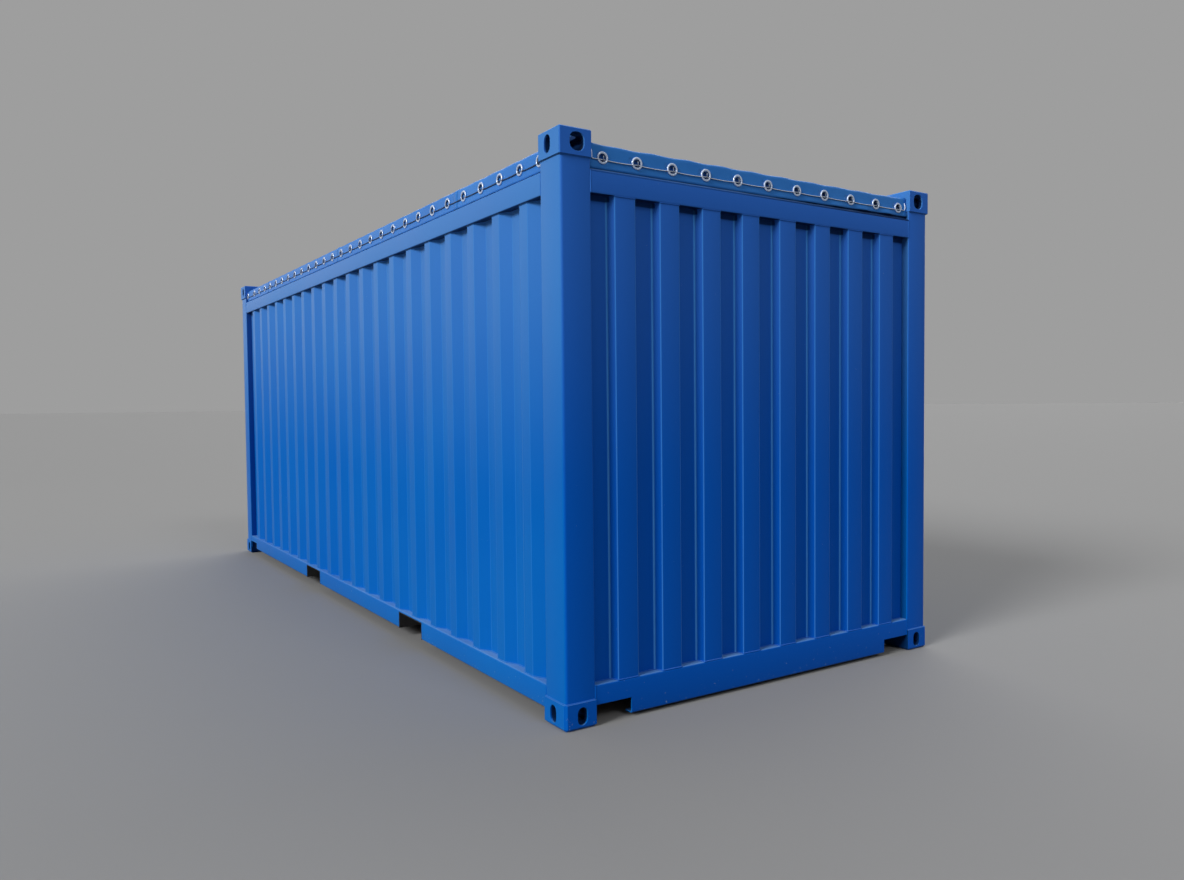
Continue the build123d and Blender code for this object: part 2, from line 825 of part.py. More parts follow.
# Hinges: a blade on the door and two lugs on the post, on one pin
hinge_x = -(door_face + hinge_pin_standoff)
hinge_y = inner_y - hinge_pin_inset
hinge_pitch = (leaf_top - leaf_bottom - 2 * hinge_end_inset) / (hinge_count - 1)
for side, sy in SIDES:
    with BuildPart() as hinges:
        for i in range(hinge_count):
            hinge_z = leaf_bottom + hinge_end_inset + i * hinge_pitch
            with BuildSketch(Plane.XY.offset(hinge_z - hinge_pin_length / 2)):
                with Locations((hinge_x, sy * hinge_y)):
                    RegularPolygon(hinge_pin_diameter / 2, hinge_pin_sides)
            extrude(amount=hinge_pin_length)
            with BuildSketch(Plane.XY.offset(hinge_z - hinge_blade_height / 2)):
                with Locations((-door_face, sy * hinge_y)):
                    Rectangle(
                        hinge_blade_thickness,
                        hinge_blade_width,
                        align=(Align.MAX, Align.MAX if sy > 0 else Align.MIN),
                    )
            extrude(amount=hinge_blade_height)
            for lug_sign in (1, -1):
                lug_z = hinge_z + lug_sign * (hinge_pin_length - hinge_lug_height) / 2
                with BuildSketch(Plane.XY.offset(lug_z - hinge_lug_height / 2)):
                    with Locations((hinge_x, sy * inner_y)):
                        Rectangle(
                            hinge_pin_diameter,
                            hinge_pin_inset,
                            align=(Align.CENTER, Align.MAX if sy > 0 else Align.MIN),
                        )
                extrude(amount=hinge_lug_height)
    save(hinges, f"{side}_door_hinges")
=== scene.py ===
"""Looks of an open-top freight container with a laced tarpaulin roof.

Metres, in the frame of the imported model: +X is the closed front end, +Z is up. The pressed sheets, the
tarpaulin, its rings, staples, cable and the welds are surfaces worked out as whole arrays.
"""
import json
import math

import bmesh
import bpy
import numpy as np
from mathutils import Matrix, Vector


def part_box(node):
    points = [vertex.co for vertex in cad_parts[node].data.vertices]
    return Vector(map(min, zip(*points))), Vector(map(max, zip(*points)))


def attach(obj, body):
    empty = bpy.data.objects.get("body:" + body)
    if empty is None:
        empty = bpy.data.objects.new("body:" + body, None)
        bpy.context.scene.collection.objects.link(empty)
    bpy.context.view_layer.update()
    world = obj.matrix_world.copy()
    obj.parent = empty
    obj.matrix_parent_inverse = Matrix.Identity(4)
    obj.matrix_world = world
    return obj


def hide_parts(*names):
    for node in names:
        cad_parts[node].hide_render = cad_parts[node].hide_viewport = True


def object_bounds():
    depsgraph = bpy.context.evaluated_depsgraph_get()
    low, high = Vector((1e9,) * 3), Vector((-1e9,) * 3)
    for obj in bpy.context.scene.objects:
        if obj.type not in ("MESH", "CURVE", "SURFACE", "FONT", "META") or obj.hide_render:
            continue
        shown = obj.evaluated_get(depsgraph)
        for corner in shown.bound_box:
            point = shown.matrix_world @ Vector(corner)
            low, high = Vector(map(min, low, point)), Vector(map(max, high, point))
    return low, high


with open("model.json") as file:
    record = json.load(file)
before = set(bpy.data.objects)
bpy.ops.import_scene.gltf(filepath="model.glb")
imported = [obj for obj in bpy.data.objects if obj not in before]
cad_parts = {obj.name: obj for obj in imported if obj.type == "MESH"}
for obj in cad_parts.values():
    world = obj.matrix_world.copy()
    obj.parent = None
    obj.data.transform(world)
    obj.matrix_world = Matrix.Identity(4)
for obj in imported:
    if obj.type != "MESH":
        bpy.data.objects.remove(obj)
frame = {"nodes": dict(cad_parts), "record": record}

cad_box = [list(corner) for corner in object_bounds()]
rng = np.random.default_rng(20)

# Planes and heights that the frame gives
(_, _, sill_bottom), (end_face, inner_y, sill_top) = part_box("front_bottom_rail")
(_, _, rail_bottom), (inner_x, side_face, rail_top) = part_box("left_bottom_rail")
(_, _, post_bottom), (_, _, post_top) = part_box("front_left_post")
(_, _, top_rail_bottom), (_, _, top_rail_top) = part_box("left_top_rail")
(_, _, staple_low), (_, _, staple_high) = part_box("left_tie_staples")
_, (tarp_end, tarp_side, tarp_crown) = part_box("tarpaulin")
_, (_, _, pocket_top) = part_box("forklift_pockets")
leaf_low, leaf_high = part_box("left_door")
door_face = -leaf_low[0]
half_height = cad_box[1][2] / 2
SIDES = (("left", 1), ("right", -1))
ENDS = (("front", 1), ("rear", -1))

# Sizes of the pressed sheets, as in the part's source
post_sheet = 0.006
post_bend = 0.014
lip_bend = 0.0065
front_lip = 0.062
rear_lip = 0.112
side_lip = 0.062
rail_sheet = 0.006
rail_bend = 0.009
rail_upper_flange = 0.062
rail_lower_flange = 0.040
rear_notch_length = 0.196
rear_notch_top = 0.118
sill_lower_flange = 0.050
sill_notch_length = 0.195
sill_notch_top = 0.092
pocket_cut = 0.357
pocket_places = (1.239, -0.765)
wall_sheet = 0.002
side_wall_outer = side_face - 0.012
side_wall_depth = 0.036
side_rib = 0.072
side_slope = 0.068
side_pitch = 0.278
side_first_recess = 0.072
side_bend = 0.012
front_wall_outer = end_face - 0.004
front_wall_depth = 0.040
front_rib = 0.112
front_slope = 0.018
front_pitch = 0.250
front_bend = 0.007
front_inner_bend = 0.012
top_rail_step = 2.426
top_rail_slope = 0.012
top_rail_recess = 0.022
top_rail_depth = 0.070
top_rail_bend = 0.006
side_rail_roll = 0.022
door_setback = 0.054
door_thickness = 0.050

# Tarpaulin, eyelets, staples and cable
tarp_thickness = 0.002
end_fold = 0.009
side_fold = 0.026
tarp_gap = 0.003
tarp_rise = 0.600
tarp_hem = 2.440
bow_half_spacing = inner_x / 6
cloth_width = 2.000
middle_seam = -0.060
seam_lap = 0.040
seam_rise = 0.0012
seam_edge = 0.0015
eyelet_pitch = 0.200
eyelet_height = top_rail_top - 0.052
end_corner_eyelet = inner_y - 0.072
side_corner_eyelet = inner_x - 0.028
side_first_eyelet = inner_x - 0.211
front_eyelets = np.array([i * eyelet_pitch for i in range(-4, 5)] + [end_corner_eyelet, -end_corner_eyelet])
side_eyelets = np.array(
    [side_first_eyelet - i * eyelet_pitch for i in range(27)] + [side_corner_eyelet, -side_corner_eyelet])
ring_width = 0.060
ring_height = 0.058
ring_hole_width = 0.040
ring_hole_height = 0.036
ring_thickness = 0.008
ring_standoff = 0.003
staple_bar = 0.005
staple_reach = 0.020
staple_root = 0.004
staple_bend = 0.006
cable_radius = 0.0025
cable_lay = 0.030


def add_object(name, data):
    """Object of the data in the scene, at the origin."""
    thing = bpy.data.objects.new(name, data)
    bpy.context.scene.collection.objects.link(thing)
    return thing


def piece(name, shape, slot, stands_for=None, sharp=35, finish=None):
    """Mesh object at the origin from points and faces, smooth but for edges sharper than the angle.

    It has its slot's finish unless another is given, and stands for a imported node, if one is named.
    """
    verts, faces = shape
    mesh = bpy.data.meshes.new(name)
    mesh.from_pydata(np.asarray(verts).tolist(), [], [list(face) for face in faces])
    mesh.validate()
    mesh.shade_smooth()
    mesh.set_sharp_from_angle(angle=math.radians(sharp))
    mesh.materials.append(finish or finishes[slot])
    thing = add_object(name, mesh)
    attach(thing, "root")
    if stands_for:
        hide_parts(stands_for)
    return thing


def joined(parts):
    """One list of points and faces from several, each part's faces counted on from the points before it."""
    counts = np.cumsum([0] + [len(verts) for verts, _ in parts])
    faces = [(np.asarray(face) + start).tolist() for (_, part), start in zip(parts, counts) for face in part]
    return np.concatenate([verts for verts, _ in parts]), faces


def outward(verts, faces):
    """Faces turned outwards: the closed shape's volume, summed over fans from the origin, is positive."""
    corners = [(face[0], face[i], face[i + 1]) for face in faces for i in range(1, len(face) - 1)]
    a, b, c = (verts[np.array(corner)] for corner in zip(*corners))
    volume = np.einsum("ij,ij->i", a, np.cross(b, c)).sum()
    return [face[::-1] for face in faces] if volume < 0 else faces


def grid_faces(rows, columns, round_columns=False, round_rows=False):
    """Quads of a grid of rows by columns of points, closed round either way where asked."""
    i = np.arange(rows if round_rows else rows - 1)[:, None]
    j = np.arange(columns if round_columns else columns - 1)[None, :]
    after = (i + 1) % rows
    beside = (j + 1) % columns
    return np.stack(
        [i * columns + j, i * columns + beside, after * columns + beside, after * columns + j], -1
    ).reshape(-1, 4)


def closed_shape(rings, looped=False):
    """Points and outward faces of a row of rings: quads between them, and end faces unless looped."""
    rows, columns = rings.shape[:2]
    faces = grid_faces(rows, columns, round_columns=True, round_rows=looped).tolist()
    if not looped:
        last = (rows - 1) * columns
        faces += [list(range(columns))[::-1], list(range(last, last + columns))]
    verts = rings.reshape(-1, 3)
    return verts, outward(verts, faces)


bend_steps = 4


def bent(points, radius, steps=bend_steps, closed=False):
    """Line with an arc at each inner corner: the arc starts radius * tan(turn / 2) before the corner.

    radius is one for all corners or one for each. Returns the line's points and its left-hand normals.
    """
    p = np.asarray(points, float)
    if closed:
        p = np.concatenate([p[-1:], p, p[:1]])
    ahead = np.diff(p, axis=0)
    ahead /= np.linalg.norm(ahead, axis=1, keepdims=True)
    left = np.stack([-ahead[:, 1], ahead[:, 0]], 1)
    turn = np.arctan2(
        ahead[:-1, 0] * ahead[1:, 1] - ahead[:-1, 1] * ahead[1:, 0], (ahead[:-1] * ahead[1:]).sum(1)
    )
    reach = radius * np.sign(turn)
    start = p[1:-1] - ahead[:-1] * (radius * np.tan(np.abs(turn) / 2))[:, None]
    centre = start + left[:-1] * reach[:, None]
    angle = turn[:, None] * np.linspace(0, 1, steps + 1)
    first = left[:-1, None, :]
    cos, sin = np.cos(angle), np.sin(angle)
    normals = np.stack(
        [cos * first[..., 0] - sin * first[..., 1], sin * first[..., 0] + cos * first[..., 1]], -1
    )
    arcs = centre[:, None] - normals * reach[:, None, None]
    line, side = arcs.reshape(-1, 2), normals.reshape(-1, 2)
    if closed:
        return line, side
    return np.concatenate([p[:1], line, p[-1:]]), np.concatenate([left[:1], side, left[-1:]])


def placed(section, stations, order):
    """Points of a section of (a, b) pairs at each station; order gives the axes of a, b and station."""
    points = np.empty((len(stations), len(section), 3))
    points[..., order[0]] = section[:, 0]
    points[..., order[1]] = section[:, 1]
    points[..., order[2]] = np.asarray(stations)[:, None]
    return points


def pressed(points, bend, sheet, stations, order, swell=None):
    """Sheet bent along a line and carried through the stations, its thickness to the line's left.

    swell gives each station's and point's move along the line's normal, for a sheet that isn't quite flat.
    """
    line, normals = bent(points, bend)
    across = placed(normals, np.zeros(len(stations)), order)
    outer = placed(line, stations, order)
    if swell is not None:
        outer += swell(line, np.asarray(stations))[..., None] * across
    inner = outer + sheet * across
    rings = np.concatenate([outer, inner[:, ::-1]], 1)
    rows, columns = rings.shape[:2]
    faces = grid_faces(rows, columns, round_columns=True)
    i = np.arange(len(line) - 1)
    cap = np.stack([i, i + 1, columns - 2 - i, columns - 1 - i], 1)
    faces = np.concatenate([faces, cap[:, ::-1], cap + (rows - 1) * columns])
    verts = rings.reshape(-1, 3)
    return verts, outward(verts, faces.tolist())


def mark_bends(thing, shares, stations):
    """Write where a pressed sheet's bends lie, for the paint's painted highlight: a sine along each bend
    times the bend's share.
    """
    arc = np.sin(np.pi * np.linspace(0, 1, bend_steps + 1))
    outer = np.concatenate([[0], np.outer(shares, arc).ravel(), [0]])
    values = np.tile(np.concatenate([outer, np.zeros_like(outer)]), stations)
    thing.data.attributes.new("bend", "FLOAT", "POINT").data.foreach_set("value", values)


def bar(points, bend, stations, order):
    """Closed section with bent corners carried through the stations, its two ends filled."""
    return closed_shape(placed(bent(points, bend, closed=True)[0], stations, order))


def tube(path, radius, sides, up, ring_scale=1.0, looped=False):
    """Round bar along a path: at each point a ring of the radius across the path's tangent.

    ring_scale, of a shape that fits points by sides, scales the radius point by point.
    """
    p = np.asarray(path, float)
    tangent = np.roll(p, -1, 0) - np.roll(p, 1, 0) if looped else np.gradient(p, axis=0)
    tangent /= np.linalg.norm(tangent, axis=1, keepdims=True)
    across = np.cross(tangent, up)
    across /= np.linalg.norm(across, axis=1, keepdims=True)
    over = np.cross(across, tangent)
    theta = np.arange(sides) * 2 * np.pi / sides
    scale = np.broadcast_to(ring_scale, (len(p), sides))
    rings = p[:, None] + radius * scale[..., None] * (
        np.cos(theta)[None, :, None] * across[:, None] + np.sin(theta)[None, :, None] * over[:, None]
    )
    return closed_shape(rings, looped)


wave_step = 1.7


def waves(phases, *axes):
    """Smooth unevenness: a sum of sines of the axes at rising frequencies, each with its own phase."""
    total = np.zeros(np.broadcast(*axes).shape)
    for k, phase in enumerate(phases, 1):
        total = total + np.sin(sum((k * wave_step + n) * axis for n, axis in enumerate(axes)) + phase) / k
    return total / len(phases)


# Colours and materials

body_colour = "#0362B6"
faded_colour = "#0869BA"
# painted shade: a deeper blue on faces that look to the front end, and on the whole front wall
front_shade_colour = "#0456BC"
# painted sheen: paler towards the top of the walls and frame
top_sheen_colour = "#8FC0EE"
# painted highlight along the bends of pressed sheets, strongest on the front wall
bend_highlight_colour = "#4A97E6"
scuff_colour = "#8FA6BE"
# pale dust on level faces, also a painted highlight on them
dust_and_highlight_colour = "#8FB8DE"
# painted shade: on faces that look down, inner faces, under the front hem, in the front wall's recess tops
# and flanks, and on the tarpaulin's seam edges
painted_shade_colour = "#05193F"
# painted shade in the hollows of the castings, also standing for dirt there
hollow_shade_and_dirt_colour = "#14305C"
sheen_colour = "#62A2DD"

# Paint: the sizes of its patches, the heights of its stains and painted light, and the most of each that
# shows
drift_patch = 0.9
chip_patch = 0.02
# painted sheen: heights where the paler top starts and is full, and its most, less at the front end
top_sheen_start = 0.85
top_sheen_full = 2.5
top_sheen_share = 0.19
front_top_sheen_share = 0.09
# painted highlight on bends: its most elsewhere, at the front end, and on the front wall's rib edges
bend_highlight_share = 0.2
front_bend_highlight_share = 0.95
front_rib_highlight = 0.6
scuff_share = 0.09
# most of the dust and painted highlight on level faces
dust_and_highlight_share = 0.7
# painted shade: its most on faces that look down
soffit_shade_share = 0.95
# painted shade: its most on the frame's inner faces
flange_shade_share = 0.45
# painted shade on the inner faces of the bottom castings, below this height, and its most
foot_height = 0.5
foot_shade_share = 0.9
# painted shade: its most on the front wall's steep flanks
flank_shade_share = 0.22
# painted shadow in the tops of the front wall's recesses: its most, its reach under the rail and its uneven
# edge
recess_shadow_share = 0.85
recess_shadow_band = 0.018
recess_shadow_edge = 0.012
recess_shadow_unevenness = 0.02
# painted shadow under the front hem: its height and its most, where the hem lies close and where it stands
# off
hem_shadow_band = 0.007
hem_shadow_share = 0.45
loose_hem_shadow_share = 0.9
casting_skin = 0.008


def linear(code):
    """Linear colour of an sRGB hex code."""
    srgb = np.array([int(code[i:i + 2], 16) for i in (1, 3, 5)]) / 255
    rgb = np.where(srgb <= 0.04045, srgb / 12.92, ((srgb + 0.055) / 1.055) ** 2.4)
    return (*rgb.tolist(), 1.0)


def put(tree, kind, inputs=None, out=None, **settings):
    """Add a shader node of a kind with its settings; inputs give each socket a value, or what feeds it.

    Returns the node, or its output of the name or number out.
    """
    node = tree.nodes.new("ShaderNode" + kind)
    for name, value in settings.items():
        setattr(node, name, value)
    for name, value in (inputs or {}).items():
        if isinstance(value, bpy.types.NodeSocket):
            tree.links.new(value, node.inputs[name])
        else:
            node.inputs[name].default_value = value
    return node if out is None else node.outputs[out]


def new_material(name):
    """Material with an empty node tree."""
    material = bpy.data.materials.new(name)
    material.use_nodes = True
    material.node_tree.nodes.clear()
    return material, material.node_tree


def surface(tree, sockets):
    """End of a material: the shader, its sockets set to values or fed by nodes, and the output."""
    shader = put(tree, "BsdfPrincipled", sockets, "BSDF")
    put(tree, "OutputMaterial", {"Surface": shader})


def overlaid(tree, film, overlays):
    """Colour with each overlay in turn mixed in, real stains and painted light alike: pairs of a share and a
    hex code.
    """
    for share, code in overlays:
        film = put(tree, "Mix", {0: share, 6: film, 7: linear(code)}, 2, data_type="RGBA")
    return film


def between(tree, value, start, stop, first, second):
    """Colour that turns from the first hex code to the second as the value goes from start to stop."""
    share = put(tree, "MapRange", {"Value": value, "From Min": start, "From Max": stop}, 0)
    return overlaid(tree, linear(first), [(share, second)])


def from_middle(tree, place):
    """Distances of a point from the container's middle planes, along X, Y and Z."""
    middle = put(tree, "VectorMath", {0: place, 1: (0, 0, half_height)}, 0, operation="SUBTRACT")
    sides = put(tree, "VectorMath", {0: middle}, 0, operation="ABSOLUTE")
    return put(tree, "SeparateXYZ", {"Vector": sides}).outputs


def all_of(tree, tests, share=1.0):
    """The share where every test holds: its product with all the (value, limit, operation) comparisons."""
    for value, limit, operation in tests:
        test = put(tree, "Math", {0: value, 1: float(limit)}, 0, operation=operation)
        share = put(tree, "Math", {0: test, 1: share}, 0, operation="MULTIPLY")
    return share


def shade_inside_castings(tree, place):
    """Mask for painted shade in a casting's hollow: one on its walls, nothing on its outer faces: a skin's
    depth from each.
    """
    outer = np.array([cad_box[1][0], cad_box[1][1], half_height]) - casting_skin
    inner = np.array([inner_x, inner_y, post_top - half_height]) + casting_skin
    far = from_middle(tree, place)
    return all_of(
        tree,
        [(far[axis], outer[axis], "LESS_THAN") for axis in range(3)]
        + [(far[axis], inner[axis], "GREATER_THAN") for axis in range(3)],
    )


def shadow_under_top_rail(tree, place, drift):
    """Painted shadow in the tops of the front wall's recesses: a dark band with an uneven edge under the
    rail.
    """
    far = from_middle(tree, place)
    height = put(tree, "SeparateXYZ", {"Vector": place}, "Z")
    uneven = put(tree, "Math", {0: drift, 1: recess_shadow_unevenness, 2: height}, 0, operation="MULTIPLY_ADD")
    rise = put(tree, "MapRange", {
        "Value": uneven, "From Min": top_rail_bottom - recess_shadow_band,
        "From Max": top_rail_bottom - recess_shadow_edge, "To Max": recess_shadow_share,
    }, 0)
    return all_of(tree, [
        (far[0], front_wall_outer - front_wall_depth * 0.6, "LESS_THAN"),
        (far[0], inner_x, "GREATER_THAN"),
    ], rise)


def shadow_under_hem(tree, place):
    """Painted shadow on the front rail's upper bend under the hem, thickest at the left, where the hem
    stands off.
    """
    spot = put(tree, "SeparateXYZ", {"Vector": place}).outputs
    hem_shadow_ramp = put(tree, "MapRange", {
        "Value": spot["Y"], "From Min": -0.5, "From Max": 0.7,
        "To Min": hem_shadow_share, "To Max": loose_hem_shadow_share,
    }, 0)
    return all_of(tree, [
        (spot["X"], inner_x, "GREATER_THAN"),
        (spot["Z"], top_rail_step - hem_shadow_band, "GREATER_THAN"),
        (from_middle(tree, place)[1], inner_y, "LESS_THAN"),
    ], hem_shadow_ramp)


def enamel(name, peel_mm, peel_depth_mm, roughness, scuff_height, shade=None):
    """Sprayed alkyd enamel on steel: a satin film, a little uneven in colour, with orange peel and scuffs.

    It gives the eye a clean deep colour with a soft sheen that breaks up slightly close to. Painted light
    and
    shade are mixed into the colour: faces that look to the front end, and the whole front wall, take a
    deeper blue as painted shade; the upper part is paler, a painted sheen, less so at the front end; bends
    carry a painted highlight; level faces carry pale dust that is also a painted highlight; faces that look
    down take painted shade. shade names where more painted shade goes: in the hollows of the castings, where
    it also stands for dirt, and on the inner faces of the bottom castings; on the inner flanges of the
    frame, with a painted shadow under the front hem; or a painted shadow in the tops of the front wall's
    recesses and painted shade on the steep flanks of the front wall.
    """
    material, tree = new_material(name)
    place = put(tree, "TexCoord", out="Object")
    normal = put(tree, "NewGeometry", out="Normal")
    spot = put(tree, "SeparateXYZ", {"Vector": place}).outputs
    facing = put(tree, "SeparateXYZ", {"Vector": normal}).outputs
    drift = put(tree, "TexNoise", {"Vector": place, "Scale": 1 / drift_patch, "Detail": 4.0}, "Fac")
    speck = put(
        tree, "TexNoise",
        {"Vector": place, "Scale": 1 / chip_patch, "Detail": 5.0, "Roughness": 0.7}, "Fac",
    )
    peel = put(tree, "TexNoise", {"Vector": place, "Scale": 1000 / peel_mm, "Detail": 2.0}, "Fac")
    at_front = (spot["X"], inner_x, "GREATER_THAN")
    # share of painted shade: the deeper front blue on faces looking to +X, and on the whole front wall
    ahead = put(tree, "MapRange", {"Value": facing["X"], "From Min": 0.3, "From Max": 0.95}, 0)
    if shade == "recesses":
        ahead = put(tree, "Math", {0: ahead, 1: all_of(tree, [at_front])}, 0, operation="MAXIMUM")
    # painted sheen, paler towards the top, less of it at the front end
    most_top_sheen = put(
        tree, "MapRange", {"Value": ahead, "To Min": top_sheen_share, "To Max": front_top_sheen_share}, 0)
    top_sheen = put(
        tree, "MapRange",
        {"Value": spot["Z"], "From Min": top_sheen_start, "From Max": top_sheen_full, "To Max": most_top_sheen}, 0,
        interpolation_type="SMOOTHSTEP",
    )
    # painted highlight along the bends, strongest at the front end
    bends = put(tree, "Attribute", out="Fac", attribute_name="bend")
    most_bend_highlight = put(tree, "MapRange", {"Value": ahead, "To Min": bend_highlight_share, "To Max": front_bend_highlight_share}, 0)
    bend_highlight = put(tree, "Math", {0: bends, 1: most_bend_highlight}, 0, operation="MULTIPLY")
    low = put(
        tree, "MapRange",
        {"Value": spot["Z"], "From Min": scuff_height, "From Max": 0.0, "To Max": scuff_share}, 0,
    )
    chips = put(tree, "Math", {0: speck, 1: low}, 0, operation="ADD")
    worn = put(tree, "MapRange", {"Value": chips, "From Min": 0.72, "From Max": 0.76}, 0)
    # pale dust on level faces, which also stands as a painted highlight on them
    level = put(
        tree, "MapRange",
        {"Value": facing["Z"], "From Min": 0.6, "From Max": 0.95, "To Max": dust_and_highlight_share}, 0,
    )
    dust_and_highlight = put(tree, "Math", {0: level, 1: drift}, 0, operation="MULTIPLY")
    # painted shade on faces that look down
    soffit_shade = put(
        tree, "MapRange",
        {"Value": facing["Z"], "From Min": -0.75, "From Max": -0.95, "To Max": soffit_shade_share}, 0,
    )
    # real stains and wear, mixed with painted shade, painted sheen and painted highlights
    overlays = [
        (ahead, front_shade_colour), (top_sheen, top_sheen_colour), (bend_highlight, bend_highlight_colour), (worn, scuff_colour),
        (dust_and_highlight, dust_and_highlight_colour), (soffit_shade, painted_shade_colour),
    ]
    outwards = put(tree, "VectorMath", {0: normal, 1: place}, "Value", operation="DOT_PRODUCT")
    inward = (outwards, -0.3, "LESS_THAN")
    if shade == "flanges":
        # painted shade on the frame's inner faces
        flanges = all_of(tree, [inward], flange_shade_share)
        # painted shadow under the front hem
        overlays += [(flanges, painted_shade_colour), (shadow_under_hem(tree, place), painted_shade_colour)]
    elif shade == "castings":
        # painted shade on the inner faces of the bottom castings, and painted shade with dirt in their
        # hollows
        feet = all_of(tree, [inward, (spot["Z"], foot_height, "LESS_THAN")], foot_shade_share)
        overlays += [(feet, painted_shade_colour), (shade_inside_castings(tree, place), hollow_shade_and_dirt_colour)]
    elif shade == "recesses":
        # painted shade on the front wall's steep flanks
        steep = put(tree, "Math", {0: facing["Y"]}, 0, operation="ABSOLUTE")
        flanks = all_of(tree, [(steep, 0.6, "GREATER_THAN"), at_front], flank_shade_share)
        # painted shadow in the tops of the front wall's recesses
        overlays += [(flanks, painted_shade_colour), (shadow_under_top_rail(tree, place, drift), painted_shade_colour)]
    sheen = put(tree, "MapRange", {
        "Value": drift, "From Min": 0.3, "From Max": 0.7,
        "To Min": roughness - 0.04, "To Max": roughness + 0.06,
    }, 0)
    surface(tree, {
        "Base Color": overlaid(tree, between(tree, drift, 0.35, 0.75, body_colour, faded_colour), overlays),
        "Roughness": sheen,
        "Normal": put(
            tree, "Bump", {"Height": peel, "Strength": 0.35, "Distance": peel_depth_mm / 1000}, 0),
        "Specular IOR Level": 0.14,
        "Specular Tint": linear(sheen_colour),
    })
    return material


drawn_thread = 0.006
soil_patch = 0.6
# width of the painted shade along the edges of the lap seams
seam_shade_band = 0.006


def coated_fabric():
    """Polyester scrim dipped in PVC: a tough sheet with a faint woven grid, a waxy sheen and lap seams.

    The real threads lie under 2 mm apart, too fine to show, so the grid is drawn at 6 mm. The seams cross
    the sheet where one width of cloth ends; they stand up in the sheet itself, with painted shade on their
    edges.
    """
    material, tree = new_material("coated tarpaulin fabric")
    place = put(tree, "TexCoord", out="Object")
    weave = 0.0
    for axis in "XYZ":
        thread = put(
            tree, "TexWave", {"Vector": place, "Scale": 2 * math.pi / 20 / drawn_thread}, "Fac",
            bands_direction=axis,
        )
        weave = put(tree, "Math", {0: weave, 1: thread}, 0, operation="ADD")
    soil = put(tree, "TexNoise", {"Vector": place, "Scale": 1 / soil_patch, "Detail": 6.0}, "Fac")
    along = put(tree, "SeparateXYZ", {"Vector": place}, "X")
    along = put(tree, "Math", {0: along, 1: middle_seam}, 0, operation="SUBTRACT")
    from_seam = put(tree, "Math", {0: along, 1: cloth_width / 2}, 0, operation="PINGPONG")
    off_edge = put(tree, "Math", {0: from_seam, 1: seam_lap / 2}, 0, operation="SUBTRACT")
    off_edge = put(tree, "Math", {0: off_edge}, 0, operation="ABSOLUTE")
    # painted shade along the edges of the lap seams
    seam_edge_shade = put(
        tree, "MapRange",
        {"Value": off_edge, "From Max": seam_shade_band, "To Min": 0.4, "To Max": 0.0}, 0,
    )
    shade = between(tree, soil, 0.3, 0.8, "#2A70C2", "#3A80CE")
    surface(tree, {
        "Base Color": overlaid(tree, shade, [(seam_edge_shade, painted_shade_colour)]),
        "Normal": put(tree, "Bump", {"Height": weave, "Strength": 0.12, "Distance": 0.0006}, 0),
        "Roughness": 0.45,
        "Specular Tint": linear(sheen_colour),
    })
    return material


def zinc(name, light, dark, spangle_mm, roughness, metallic=1.0):
    """Zinc-coated steel: a bright grey metal whose crystals show as patches that catch the light in turn."""
    material, tree = new_material(name)
    place = put(tree, "TexCoord", out="Object")
    crystals = put(tree, "TexVoronoi", {"Vector": place, "Scale": 1000 / spangle_mm}, "Color")
    grey = put(tree, "SeparateColor", {"Color": crystals}).outputs
    surface(tree, {
        "Base Color": between(tree, grey[0], 0.0, 1.0, dark, light),
        "Roughness": put(
            tree, "MapRange",
            {"Value": grey[1], "To Min": roughness - 0.08, "To Max": roughness + 0.1}, 0),
        "Metallic": metallic,
    })
    return material


def wire_rope():
    """Galvanised wire rope: tarnished dark, with a painted highlight along the top of its runs across the
    ends.
    """
    material, tree = new_material("weathered wire rope")
    place = put(tree, "TexCoord", out="Object")
    normal = put(tree, "NewGeometry", out="Normal")
    upward = put(tree, "SeparateXYZ", {"Vector": normal}, "Z")
    upper = put(tree, "MapRange", {"Value": upward, "From Min": -0.45, "From Max": -0.05}, 0)
    # painted highlight on the upper side of the cable where it runs across the ends
    bright = all_of(tree, [(from_middle(tree, place)[0], inner_x, "GREATER_THAN")], upper)
    surface(tree, {
        "Base Color": overlaid(tree, linear("#38445A"), [(bright, "#E2ECFA")]),
        "Roughness": 0.45,
        "Metallic": 0.4,
    })
    return material


def mottled(name, patch, dark, light, roughness, detail, relief=0.0, strength=0.0, along=1.0, wave=0.0):
    """Dull stuff whose colour turns from dark to light in soft patches, raised where it has relief.

    Brushed bitumen is thick and black, with lumps the size of a brush dab, 30 mm. Rotary-cut plywood has
    long wavy grain along the sheet, 12 mm wide, oiled and worn. A rubber seal is near black, greyed in
    patches of 80 mm where it has bloomed.
    """
    material, tree = new_material(name)
    place = put(tree, "TexCoord", out="Object")
    place = put(tree, "Mapping", {"Vector": place, "Scale": (along, 1.0, 1.0)}, 0)
    noise = {"Vector": place, "Scale": 1 / patch, "Detail": detail, "Distortion": wave}
    patches = put(tree, "TexNoise", noise, "Fac")
    surface(tree, {
        "Base Color": between(tree, patches, 0.0, 1.0, dark, light),
        "Normal": put(tree, "Bump", {"Height": patches, "Strength": strength, "Distance": relief}, 0),
        "Roughness": roughness,
    })
    return material


